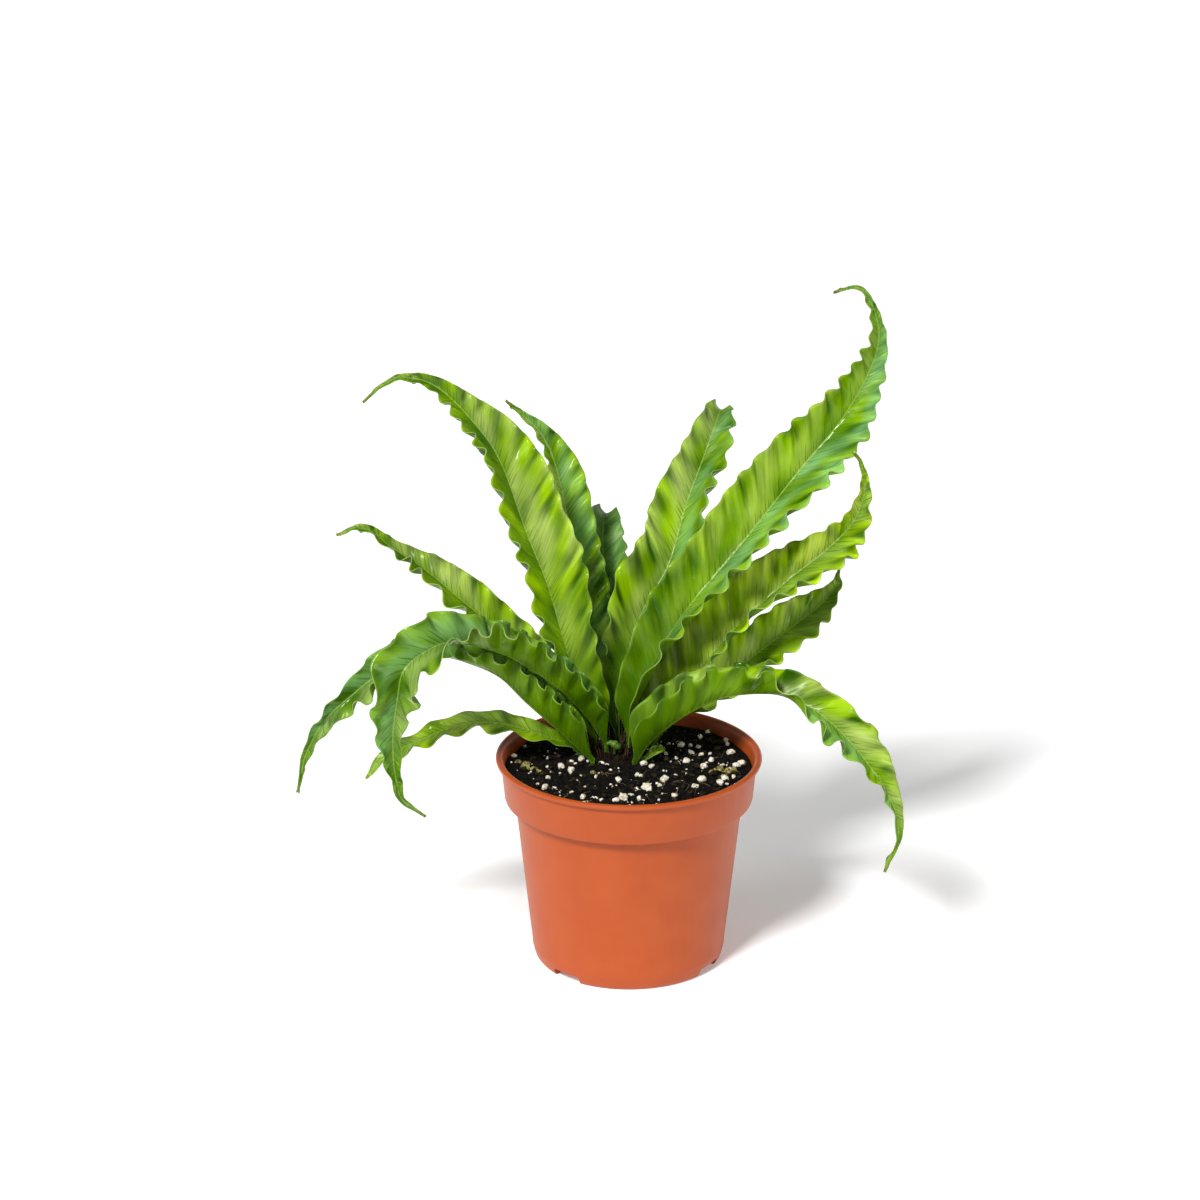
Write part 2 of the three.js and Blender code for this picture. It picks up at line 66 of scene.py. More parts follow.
LOG = logging.getLogger("fern")
MM = 0.001
BODY = "root"
POT_LOW, POT_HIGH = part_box("pot")
POT_MIDDLE = np.array([(POT_LOW.x + POT_HIGH.x) / 2, (POT_LOW.y + POT_HIGH.y) / 2, 0.0])
CROWN_X_MM, CROWN_Y_MM = -5.0, 11.0
SOIL_MM = 80.0  # the soil's middling height


class Slot(Enum):
    """The record's material slots."""

    LEAF = "leaf"
    POT = "pot"
    SOIL = "soil"
    CROWN = "crown"


class Tone(Enum):
    """A frond's greens as sRGB hex: deep, light, and the painted sheen on its left and right halves.

    Some tones are lit and shaded copies of one green: painted light and painted shade for where a frond
    stands.
    """

    FRESH = ("#346400", "#A0CA00", "#D2E080", "#8CCE84")
    LUSH = ("#366800", "#94C000", "#B4CA50", "#98D690")
    # Painted light: bright greens and pale sheen for a frond that the lamps leave in shade
    LIT_BANDED = ("#2E5C00", "#C2E60A", "#E4F06C", "#A4CE5C")
    # Painted shade: the dark left colour shades the left half
    SUNNY = ("#346400", "#A2CA02", "#3A7000", "#D4E47C")
    # Painted light: bright greens for fronds that the lamps leave in shade
    GLOWING = ("#3E7200", "#BAE008", "#E2EE88", "#C8E27C")
    RIPE = ("#345E00", "#88B208", "#BACC6E", "#90C068")
    SHADED = ("#34620A", "#74A638", "#92BE7C", "#92BE7C")
    COOL = ("#2E5E02", "#84B01E", "#B2CA74", "#86C284")


# Small helpers


def linear(code: str) -> Colour:
    """Turns a colour into what a shader's socket holds.

    Args:
        code: The colour as sRGB hex, such as "#E8E0CE".

    Returns:
        The linear red, green, blue and an alpha of 1.
    """
    shares = [int(code[i : i + 2], 16) / 255 for i in (1, 3, 5)]
    values = [c / 12.92 if c <= 0.04045 else ((c + 0.055) / 1.055) ** 2.4 for c in shares]
    return (*values, 1.0)


def placed(points_mm: Array | Triple) -> Array:
    """Turns millimetres from the pot's underside into metres in the row's frame."""
    return np.asarray(points_mm, float) * MM + POT_MIDDLE


def ease(low: float, high: float, x: Array) -> Array:
    """Rises smoothly from 0 at low to 1 at high."""
    share = np.clip((np.asarray(x, float) - low) / (high - low), 0, 1)
    return share * share * (3 - 2 * share)


def bridged(a: Array, b: Array, slope_a: Array, slope_b: Array, u: Array) -> Array:
    """Gives values on a smooth curve from a, where u is 0, to b, where u is 1."""
    start = a * (2 * u**3 - 3 * u**2 + 1) + slope_a * (u**3 - 2 * u**2 + u)
    return start + b * (3 * u**2 - 2 * u**3) + slope_b * (u**3 - u**2)


def spread(values: list[float], t: Array) -> Array:
    """Gives smooth values from a list whose values are evenly spread.

    Args:
        values: The values at even steps from t = 0 to t = 1.
        t: Where the values are wanted, from 0 to 1.

    Returns:
        One value for each t.
    """
    known = np.asarray(values, float)
    place = np.clip(t, 0, 1) * (len(known) - 1)
    i = np.minimum(place.astype(int), len(known) - 2)
    slope_a = (known[i + 1] - known[np.maximum(i - 1, 0)]) / 2
    slope_b = (known[np.minimum(i + 2, len(known) - 1)] - known[i]) / 2
    return bridged(known[i], known[i + 1], slope_a, slope_b, place - i)


def pointed(angle: Array) -> Array:
    """Gives a wave with nearly pointed crests and rounded hollows, from -0.8 to 0.9."""
    middle, rounding = 1.27, 0.03
    return middle - 2 * np.sqrt(np.cos(angle / 2) ** 2 + rounding)


def noise_at(points: Array, size: float, seed: float, octaves: int = 3) -> Array:
    """Gives a smooth rough value at each point.

    Args:
        points: The points, one row each.
        size: The size of the largest lumps, in the points' unit.
        seed: Moves the pattern.
        octaves: How many layers there are, each 2.1 times as fine as the one before.

    Returns:
        One value for each point, mostly from -1 to 1.
    """
    shift = Vector((seed, -seed, 2 * seed))
    return np.array([noise.fractal(Vector(p) / size + shift, 1.0, 2.1, octaves) for p in points])


def select_only(obj: Piece) -> None:
    """Makes obj the one selected and active object."""
    bpy.ops.object.select_all(action="DESELECT")
    obj.select_set(True)
    bpy.context.view_layer.objects.active = obj


def new_piece(name: str) -> Piece:
    """Names the primitive that was just added, and returns it."""
    obj = bpy.context.active_object
    obj.name = name
    obj.data.name = name
    return obj


def settle(obj: Piece) -> None:
    """Puts an object's place into its mesh and its origin at the frame's origin."""
    select_only(obj)
    bpy.ops.object.transform_apply(location=True, rotation=True, scale=True)


def vertices_of(obj: Piece) -> Array:
    """Gives an object's vertices as rows of x, y and z."""
    flat = np.zeros(len(obj.data.vertices) * 3)
    obj.data.vertices.foreach_get("co", flat)
    return flat.reshape(-1, 3)


def move_vertices(obj: Piece, points: Array) -> None:
    """Moves an object's vertices to the given points."""
    obj.data.vertices.foreach_set("co", np.asarray(points, float).ravel())
    obj.data.update()


def extrude_rings(obj: Piece, rings: list[Pair]) -> None:
    """Extrudes a round sheet's edge from ring to ring, and closes the last one.

    Args:
        obj: The sheet, whose edge lies on the first ring.
        rings: The radius and the height of each ring, in mm.
    """
    select_only(obj)
    bpy.ops.object.mode_set(mode="EDIT")
    bpy.ops.mesh.select_all(action="SELECT")
    bpy.ops.mesh.region_to_loop()
    for (radius, height), (next_radius, next_height) in zip(rings, rings[1:]):
        rise = (0, 0, (next_height - height) * MM)
        bpy.ops.mesh.extrude_edges_move(TRANSFORM_OT_translate={"value": rise})
        grow = next_radius / radius
        middle = placed((0, 0, next_height))
        bpy.ops.transform.resize(value=(grow, grow, 1), center_override=middle)
    bpy.ops.mesh.edge_face_add()
    bpy.ops.mesh.select_all(action="SELECT")
    bpy.ops.mesh.normals_make_consistent(inside=False)
    bpy.ops.object.mode_set(mode="OBJECT")


def finish_with(obj: Piece, kind: str, **settings: object) -> None:
    """Adds a modifier with its settings and applies it.

    Args:
        obj: The piece.
        kind: The modifier's type.
        **settings: The modifier's own settings.
    """
    select_only(obj)
    modifier = obj.modifiers.new(kind.title(), kind)
    for name, value in settings.items():
        setattr(modifier, name, value)
    bpy.ops.object.modifier_apply(modifier=modifier.name)


def joined(objects: list[Piece], name: str) -> Piece:
    """Joins objects into one piece of that name and returns it."""
    select_only(objects[0])
    for obj in objects[1:]:
        obj.select_set(True)
    bpy.ops.object.join()
    return new_piece(name)


def copied(obj: Piece) -> Piece:
    """Gives a copy of an object with a mesh of its own."""
    twin = obj.copy()
    twin.data = obj.data.copy()
    bpy.context.scene.collection.objects.link(twin)
    return twin


def hand_over(obj: Piece, slot: Slot, *nodes: str) -> None:
    """Puts a finished piece on its body.

    Args:
        obj: The piece.
        slot: The record's slot; not used.
        *nodes: The nodes that it stands for.
    """
    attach(obj, BODY)
    if nodes:
        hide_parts(*nodes)
    LOG.info("%s: %d vertices", obj.name, len(obj.data.vertices))


def new_material(name: str) -> tuple[Material, Tree]:
    """Makes an empty node material and returns it with its tree."""
    material = bpy.data.materials.new(name)
    material.use_nodes = True
    material.node_tree.nodes.clear()
    return material, material.node_tree


def add_node(tree: Tree, kind: str, inputs: dict | None = None, **settings: object) -> Node:
    """Adds a shader node with its settings and links.

    Args:
        tree: The node tree of the material or the world.
        kind: The node's type, without the ShaderNode that it starts with.
        inputs: What each input gets, by the input's name or number: a value, a socket, or a
            node, whose first output in use is linked.
        **settings: The node's own settings.

    Returns:
        The new node.
    """
    node = tree.nodes.new("ShaderNode" + kind)
    for name, value in settings.items():
        setattr(node, name, value)
    for key, value in (inputs or {}).items():
        if isinstance(value, bpy.types.Node):
            value = next(output for output in value.outputs if output.enabled)
        if isinstance(value, bpy.types.NodeSocket):
            tree.links.new(value, node.inputs[key])
        else:
            node.inputs[key].default_value = value
    return node


def limits(value: Source, low: float, high: float, first: float = 0, last: float = 1) -> dict:
    """Names a range's inputs, for a result that goes from first at low to last at high."""
    return {"Value": value, "From Min": low, "From Max": high, "To Min": first, "To Max": last}


def layers(share: Source, under: Source | Colour, over: Source | Colour) -> dict:
    """Numbers a colour mix's inputs, for one colour that lies over another by a share."""
    return {0: share, 6: under, 7: over}


def set_ramp(ramp: Node, stops: tuple[tuple[float, str], ...]) -> None:
    """Gives a colour ramp its stops: the place and the colour of each, from the lowest up."""
    elements = ramp.color_ramp.elements
    for place, _ in stops[1:-1]:
        elements.new(place)
    for element, (place, colour) in zip(elements, stops):
        element.position = place
        element.color = linear(colour)


# Finishes


@dataclass(frozen=True)
class LivingLeaf:
    """Living leaf blade: a waxy, glossy skin over green tissue that lets some light through.

    The wax gives soft streaked highlights, and light from behind shows as a warmer green. The
    pale patches laid into the colour are painted sheen: a painted highlight on each half.
    Sizes in pairs are those of a pattern's patches, across and along the blade. The marks are
    the values of a pattern where what it brings starts and where it is full.
    """

    deep: str
    light: str
    # The painted sheen's colours on the left and right half: painted highlight, or painted shade where dark
    left_painted_light: str = "#B4C680"
    right_painted_light: str = "#B4C680"
    rib: str = "#ABCB55"
    tip: str = "#7C5A2C"
    sheen: str = "#F4FFE0"
    rib_half_mm: float = 0.3
    streaks_mm: Pair = (30.0, 0.95)  # as far apart as the side veins
    swells_mm: Pair = (18.0, 28.0)
    pleats_mm: Pair = (24.0, 5.0)
    patch_mm: float = 16.0
    streak_share: float = 0.2
    ruffle_painted_light: float = 0.26
    green_marks: Pair = (0.3, 0.9)
    dull_marks: Pair = (0.4, 0.6)
    painted_light_marks: Pair = (0.37, 0.6)
    streak_marks: Pair = (0.38, 0.58)
    foot_fade_marks: Pair = (0.05, 0.4)
    fray_mm: float = 26.0  # how far the midrib's dark edge reaches out along the streaks
    roughness: float = 0.2
    dullest: float = 0.46
    wax: float = 0.38
    painted_light: float = 0.55
    through: float = 0.28  # the share of light that goes on into the blade

    def material(self, name: str) -> Material:
        """Builds the material.

        Args:
            name: The material's name.

        Returns:
            The material, which reads the blade's UV map and its along and wave attributes.
        """
        material, tree = new_material(name)
        uv = add_node(tree, "UVMap", uv_map="blade")
        along, wave = (
            add_node(tree, "Attribute", attribute_name=kind).outputs["Fac"]
            for kind in ("along", "wave")
        )
        across = add_node(tree, "SeparateXYZ", {0: uv})
        streaks, swells, pleats = (
            self._pattern(tree, uv, size) for size in (self.streaks_mm, self.swells_mm, self.pleats_mm)
        )
        colour = self._tissue(tree, streaks, wave)
        # Painted sheen: patches of painted highlight laid into the green
        painted_light = self._painted_light_share(tree, swells, streaks, along)
        colour = self._with_painted_light(tree, colour, painted_light, across)
        colour = self._midrib(tree, colour, across, streaks)
        colour = self._ends(tree, colour, along)
        normal = self._relief(tree, swells, pleats, streaks)
        dullness = limits(swells, *self.dull_marks, self.roughness, self.dullest)
        look = {
            "Base Color": colour,
            "Roughness": add_node(tree, "MapRange", dullness),
            "IOR": 1.5,
            "Specular IOR Level": self.wax,
            "Specular Tint": linear(self.sheen),
            "Normal": normal,
        }
        skin = add_node(tree, "BsdfPrincipled", look)
        warm = add_node(tree, "HueSaturation", {"Color": colour, "Hue": 0.485, "Value": 1.35})
        glow = add_node(tree, "BsdfTranslucent", {"Color": warm, "Normal": normal})
        both = add_node(tree, "MixShader", {0: self.through, 1: skin, 2: glow})
        add_node(tree, "OutputMaterial", {"Surface": both})
        return material

    def _pattern(self, tree: Tree, uv: Source, size_mm: Pair) -> Node:
        """Adds soft noise with patches of that size across and along the blade."""
        scale = (1 / (size_mm[0] * MM), 1 / (size_mm[1] * MM), 1)
        stretched = add_node(tree, "Mapping", {0: uv, "Scale": scale})
        return add_node(tree, "TexNoise", {"Vector": stretched, "Scale": 1.0, "Detail": 1.0})

    def _tissue(self, tree: Tree, streaks: Source, wave: Source) -> Node:
        """Mixes the deep and the light green, with painted shade and painted light that follow the ruffles'
        height.

        Args:
            tree: The material's node tree.
            streaks: The streaks' value.
            wave: How high the blade's ruffle stands.

        Returns:
            The node that gives the colour.
        """
        coords = add_node(tree, "TexCoord").outputs["Object"]
        patches = {"Vector": coords, "Scale": 1 / (self.patch_mm * MM), "Detail": 1.0}
        share = add_node(tree, "TexNoise", patches)
        # The ruffles' and pleats' height shifts the green darker or lighter: painted shade and painted
        # light on them
        for value, weight in ((streaks, self.streak_share), (wave, self.ruffle_painted_light)):
            share = add_node(tree, "Math", {0: value, 1: weight, 2: share}, operation="MULTIPLY_ADD")
        share = add_node(tree, "MapRange", limits(share, *self.green_marks))
        greens = layers(share, linear(self.deep), linear(self.light))
        return add_node(tree, "Mix", greens, data_type="RGBA")

    def _painted_light_share(self, tree: Tree, swells: Source, streaks: Source, along: Source) -> Node:
        """Gives how thick the painted sheen lies: streaked patches that thin out toward the base.

        Args:
            tree: The material's node tree.
            swells: The broad swells' value.
            streaks: The streaks' value.
            along: How far up the blade a point lies, from 0 to 1.

        Returns:
            The node that gives the share.
        """
        share = add_node(
            tree,
            "MapRange",
            limits(swells, *self.painted_light_marks, 0, self.painted_light),
            interpolation_type="SMOOTHSTEP",
        )
        for value, marks, least in ((streaks, self.streak_marks, 0.62), (along, self.foot_fade_marks, 0.1)):
            thinned = add_node(tree, "MapRange", limits(value, *marks, least))
            share = add_node(tree, "Math", {0: share, 1: thinned}, operation="MULTIPLY")
        return share

    def _with_painted_light(self, tree: Tree, colour: Source, share: Source, across: Source) -> Node:
        """Lays the painted sheen over the green: a painted highlight, or painted shade where a half's
        colour is dark.

        Args:
            tree: The material's node tree.
            colour: The green.
            share: How thick the painted sheen lies.
            across: How far right of the rib a point lies, in metres.

        Returns:
            The node that gives the colour.
        """
        soft = 0.5 * MM
        half = add_node(tree, "MapRange", limits(across, -soft, soft))
        light_paints = layers(half, linear(self.left_painted_light), linear(self.right_painted_light))
        pale = add_node(tree, "Mix", light_paints, data_type="RGBA")
        return add_node(tree, "Mix", layers(share, colour, pale), data_type="RGBA")

    def _midrib(self, tree: Tree, colour: Source, across: Source, streaks: Source) -> Source:
        """Draws the pale midrib between dark lines that fray into the veins.

        Args:
            tree: The material's node tree.
            colour: The green.
            across: How far right of the rib a point lies, in metres.
            streaks: The streaks' value.

        Returns:
            What gives the colour.
        """
        distance = add_node(tree, "Math", {0: across}, operation="ABSOLUTE")
        half = self.rib_half_mm * MM
        for paint, strength, inner, outer, fray in (
            (self.deep, 0.6, 1.8 * half, 4.0 * half, self.fray_mm * MM),
            (self.rib, 0.65, 0.7 * half, 1.6 * half, 0.0),
        ):
            frays = {0: streaks, 1: -fray, 2: distance}
            frayed = add_node(tree, "Math", frays, operation="MULTIPLY_ADD")
            fading = limits(frayed, inner - fray / 2, outer - fray / 2, strength, 0.0)
            share = add_node(tree, "MapRange", fading, interpolation_type="SMOOTHSTEP")
            colour = add_node(tree, "Mix", layers(share, colour, linear(paint)), data_type="RGBA")
        return colour

    def _ends(self, tree: Tree, colour: Source, along: Source) -> Source:
        """Deepens the green toward foot and tip, and browns the very tip. The deeper green at the foot is
        painted shade in the crown.

        Args:
            tree: The material's node tree.
            colour: The green.
            along: How far up the blade a point lies, from 0 to 1.

        Returns:
            What gives the colour.
        """
        for paint, strength, start, end in (
            # Painted shade: darker toward the foot, down in the crown
            (self.deep, 0.7, 0.3, 0.0),
            (self.deep, 0.35, 0.55, 0.85),
            (self.tip, 0.5, 0.97, 1.0),
        ):
            share = add_node(tree, "MapRange", limits(along, start, end, 0, strength))
            colour = add_node(tree, "Mix", layers(share, colour, linear(paint)), data_type="RGBA")
        return colour

    def _relief(self, tree: Tree, swells: Source, pleats: Source, veins: Source) -> Node:
        """Raises broad swells, soft pleats on them and fine veins on those.

        Args:
            tree: The material's node tree.
            swells: The broad swells' value.
            pleats: The pleats' value.
            veins: The veins' value.

        Returns:
            The node that gives the normal.
        """
        below = {}
        for height, strength, rise_mm in ((swells, 1.0, 4.0), (pleats, 0.8, 0.9), (veins, 0.4, 0.1)):
            raised = {"Height": height, "Strength": strength, "Distance": rise_mm * MM}
            normal = add_node(tree, "Bump", raised | below)
            below = {"Normal": normal}
        return normal


@dataclass(frozen=True)
class MouldedPlastic:
    """Injection-moulded polypropylene: satin, slightly waxy, with a faint cloudiness."""

    colour: str = "#A34615"
    light: str = "#A64A19"
    shadow: str = "#A04313"
    roughness: float = 0.42
    cloud_mm: float = 14.0
    skin_mm: float = 0.7  # the grain of the moulded skin

    def material(self, name: str) -> Material:
        """Builds the material of that name."""
        material, tree = new_material(name)
        coords = add_node(tree, "TexCoord").outputs["Object"]
        clouds, skin = (
            add_node(tree, "TexNoise", {"Vector": coords, "Scale": 1 / (size * MM), "Detail": detail})
            for size, detail in ((self.cloud_mm, 3.0), (self.skin_mm, 2.0))
        )
        ramp = add_node(tree, "ValToRGB", {0: clouds})
        set_ramp(ramp, ((0.3, self.shadow), (0.5, self.colour), (0.75, self.light)))
        raised = {"Height": skin, "Strength": 0.12, "Distance": 0.1 * MM}
        look = {
            "Base Color": ramp,
            "Roughness": self.roughness,
            "IOR": 1.49,
            "Specular IOR Level": 0.35,
            "Normal": add_node(tree, "Bump", raised),
        }
        body = add_node(tree, "BsdfPrincipled", look)
        add_node(tree, "OutputMaterial", {"Surface": body})
        return material


@dataclass(frozen=True)
class Mottled:
    """A rough natural matter of two colours, such as peat, perlite, bark or moss."""

    dark: str
    pale: str
    patch_mm: float
    roughness: float = 0.9
    relief_mm: float = 0.3
    shine: float = 0.12

    def material(self, name: str) -> Material:
        """Builds the material of that name."""
        material, tree = new_material(name)
        coords = add_node(tree, "TexCoord").outputs["Object"]
        size = {"Vector": coords, "Scale": 1 / (self.patch_mm * MM), "Detail": 4.0}
        patches = add_node(tree, "TexNoise", size)
        ramp = add_node(tree, "ValToRGB", {0: patches})
        set_ramp(ramp, ((0.35, self.dark), (0.65, self.pale)))
        raised = {"Height": patches, "Strength": 0.8, "Distance": self.relief_mm * MM}
        look = {
            "Base Color": ramp,
            "Roughness": self.roughness,
            "Specular IOR Level": self.shine,
            "Normal": add_node(tree, "Bump", raised),
        }
        body = add_node(tree, "BsdfPrincipled", look)
        add_node(tree, "OutputMaterial", {"Surface": body})
        return material


# The plant


@dataclass
class Rows:
    """What is known of a blade's rows, from its foot to its tip."""

    heights: Array  # how far up the rib, in mm
    t: Array  # the same as a share of the rib's length
    phase: Array  # how far the ruffles have turned, in radians
    widths: dict[int, Array]  # the half widths at the left (-1) and the right (1), in mm
    fold: Array  # in radians
    place: Array
    tangent: Array
    normal: Array
    side: Array


@dataclass
class Frond:
    """A strap-shaped frond: two halves folded up along a raised rib, with ruffled margins.

    The rib's points run from the crown to the tip. Half widths in mm, folds and twists in
    degrees are spread evenly along it. The ruffles are the height of the margin's wave at the
    base and at the tip, and the waves are its lengths there. Where a frond is lopsided, the
    right half is wider, and the left half narrower, by these shares of the half width.
    """

    name: str
    rib: list[Triple]
    half_widths: list[float]
    folds: list[float]
    twists: list[float]
    ruffles: Pair
    waves: Pair
    phase: float
    tone: Tone
    lopsided: list[float] | Pair = (0, 0)
    step_mm: float = 0.8
    root_depth_mm: float = 6.0
    root_half_mm: float = 1.5
    opening_mm: float = 8.0
    vein_sweep: float = 0.75
    vein_lag: float = 0.3  # how much further a vein sweeps than the blade's rows do
    hollow: float = 0.05  # how far each half sags between rib and margin, for its width
    pleat_mm: float = 0.8
    frill: float = 1.25
    full_ruffle_mm: float = 8.0  # a half that is narrower than this has lower ruffles
    cusped: float = 0.5  # 1 for pointed ruffles and rounded hollows, 0 for even waves
    curl: float = 0.2  # how far the ruffles lean over, for their height, at the base
    left_lag: float = 2.1  # in radians, how far the left margin's ruffles are off the right one's
    uneven: float = 0.35  # how much the ruffles differ in height
    ragged: float = 0.5  # how much they differ in length
    # How slow the sways in the ruffles' height, length and pleats are, and how each is shifted
    sways: tuple[Pair, ...] = ((2.6, 5), (3.7, 2), (5.3, 3))
    rib_columns_mm: tuple[float, ...] = (0.28, 0.55, 0.85, 1.3)
    side_columns: int = 10
    close_mm: float = 4.0  # where a half is narrower than this, the rib's columns close up
    rib_half_mm: float = 0.45
    rib_fade: float = 0.55  # how much of its height the rib has lost at the tip
    rib_thickness_mm: float = 0.95
    blade_thickness_mm: float = 0.36

    def _curve(self) -> tuple[Array, Array]:
        """Gives close points on the rib, and how far along it each one lies, in mm."""
        points = np.array(self.rib, float)
        ends = [2 * points[0] - points[1], *points, 2 * points[-1] - points[-2]]
        closeness = 200
        u = np.linspace(0, 1, closeness, endpoint=False)[:, None]
        pieces = [
            bridged(a, b, (b - before) / 2, (after - a) / 2, u)
            for before, a, b, after in zip(ends, ends[1:], ends[2:], ends[3:])
        ]
        line = np.vstack([*pieces, points[-1:]])
        steps = np.linalg.norm(np.diff(line, axis=0), axis=1)
        return line, np.concatenate([[0], np.cumsum(steps)])

    def _wave_phase(self, length: float, heights: Array) -> Array:
        """Gives how far the ruffle has turned, in radians, at each height along the rib."""
        samples = 5
        marks = [0.0]
        while marks[-1] < length:
            share = marks[-1] / length
            wave = self.waves[0] + (self.waves[1] - self.waves[0]) * share
            marks.append(marks[-1] + wave / samples)
        turns = np.arange(len(marks)) * 2 * math.pi / samples
        return np.interp(heights, marks, turns)

    def _frames(self, heights: Array) -> tuple[Array, Array, Array, Array]:
        """Gives the place, tangent, normal and side of the blade at each height.

        Args:
            heights: How far up the rib, in mm; what is below 0 goes straight down.

        Returns:
            Four arrays with a row for each height.
        """
        line, reached = self._curve()
        near_mm = 0.3
        behind, place, ahead = (
            np.column_stack([np.interp(heights + step, reached, line[:, k]) for k in range(3)])
            for step in (-near_mm, 0, near_mm)
        )
        place[:, 2] += np.minimum(heights, 0)
        tangent = ahead - behind
        tangent[heights < 0] = (0, 0, 1)
        tangent /= np.linalg.norm(tangent, axis=1)[:, None]
        upper = line[0] - np.array(self.rib[len(self.rib) // 2], float)
        upper[2] = 0
        uppers = []
        for direction in tangent:
            upper = upper - direction * (upper @ direction)
            upper = upper / np.linalg.norm(upper)
            uppers.append(upper)
        upper = np.array(uppers)
        turn = np.radians(spread(self.twists, np.maximum(heights, 0) / reached[-1]))[:, None]
        normal = upper * np.cos(turn) + np.cross(tangent, upper) * np.sin(turn)
        return place, tangent, normal, np.cross(tangent, normal)

    def _rows(self) -> Rows:
        """Works out the rows, from the foot in the crown to the tip."""
        length = self._curve()[1][-1]
        count = int((length + self.root_depth_mm) / self.step_mm)
        heights = np.linspace(-self.root_depth_mm, length, count)
        t = np.maximum(heights, 0) / length
        phase = self._wave_phase(length, np.maximum(heights, 0))
        opened = ease(-1, self.opening_mm, heights)
        narrowest_mm = 0.4
        widths = {}
        for hand in (-1, 1):
            share = 1 + hand * spread(self.lopsided, t)
            full = np.maximum(spread(self.half_widths, t) * share, narrowest_mm)
            widths[hand] = self.root_half_mm + (full - self.root_half_mm) * opened
        fold = np.radians(spread(self.folds, t))
        return Rows(heights, t, phase, widths, fold, *self._frames(heights))

    def _half(self, hand: int, reach: Array, rows: Rows) -> tuple[Array, Array]:
        """Shapes one half of the blade.

        Args:
            hand: -1 for the left half and 1 for the right half.
            reach: How far out each column lies, from 0 at the rib to 1 at the margin, by row.
            rows: What is known of each row along the rib.

        Returns:
            The middle surface's points in mm, and how high it stands as a wave, by row and column.
        """
        offset = self.phase + (0 if hand > 0 else self.left_lag)
        height_sway, length_sway, pleat_sway = (
            np.sin(rows.phase / slow + offset * shift) for slow, shift in self.sways
        )
        width = rows.widths[hand][:, None]
        start = ease(0.01, 0.14, rows.t)
        height = self.ruffles[0] + (self.ruffles[1] - self.ruffles[0]) * rows.t
        size = self.frill * height * start * (1 + self.uneven * height_sway)
        angle = (rows.phase + offset + self.ragged * length_sway)[:, None]
        lift = size[:, None] * np.minimum(1, width / self.full_ruffle_mm)
        lift = lift * (0.25 * reach + 0.75 * reach**3)
        crest = self.cusped * pointed(angle) - (1 - self.cusped) * np.cos(angle)
        sag = self.hollow * width * 4 * reach * (1 - reach)
        # Pleats: finer waves between rib and margin that come and go along the blade
        busy = 0.35 + 0.9 * pleat_sway[:, None] ** 2
        valley = 0.3 * np.sin(2.6 * angle + 4 * offset) - pointed(angle + 1.3 * offset)
        inland = ease(0.08, 0.7, reach) * (1 - ease(0.75, 1.1, reach))
        bands = busy * valley * start[:, None]
        lean = self.curl * (1 - rows.t)[:, None] * lift * np.sin(2 * angle)
        along = self.vein_sweep * width * reach + lean
        out = lift * crest + self.pleat_mm * bands * inland - sag
        fold = rows.fold[:, None, None]
        side = rows.side[:, None, :] * hand
        normal = rows.normal[:, None, :]
        outward = side * np.cos(fold) + normal * np.sin(fold)
        face = normal * np.cos(fold) - side * np.sin(fold)
        points = rows.place[:, None, :] + outward * (width * reach)[..., None]
        points = points + rows.tangent[:, None, :] * along[..., None] + face * out[..., None]
        return points, bands * inland - crest * reach**3

    def _sheet(self) -> tuple[Array, dict[str, Array]]:
        """Gives the middle surface's points by row and column, and each point's values."""
        rows = self._rows()
        narrow = np.minimum(rows.widths[-1], rows.widths[1])[:, None]
        near = np.array(self.rib_columns_mm)[None, :] * np.minimum(1, narrow / self.close_mm)
        far = np.linspace(0, 1, self.side_columns + 1)[None, 1:]
        halves = []
        for hand, width in rows.widths.items():
            distance = np.hstack([near, near[:, -1:] + (width[:, None] - near[:, -1:]) * far])
            points, wave = self._half(hand, distance / width[:, None], rows)
            halves.append((points, hand * distance, wave))
        none = np.zeros((len(rows.t), 1))
        points, across, wave = (
            np.concatenate([left[:, ::-1], middle, right], axis=1)
            for left, middle, right in zip(halves[0], (rows.place[:, None, :], none, none), halves[1])
        )
        every = np.ones((1, across.shape[1]))
        rib = np.exp(-((across / self.rib_half_mm) ** 2)) * (1 - self.rib_fade * rows.t)[:, None]
        up = rows.heights[:, None] * every - self.vein_lag * np.abs(across)
        along = rows.t[:, None] * every
        return points, {"across": across, "up": up, "rib": rib, "wave": wave, "along": along}

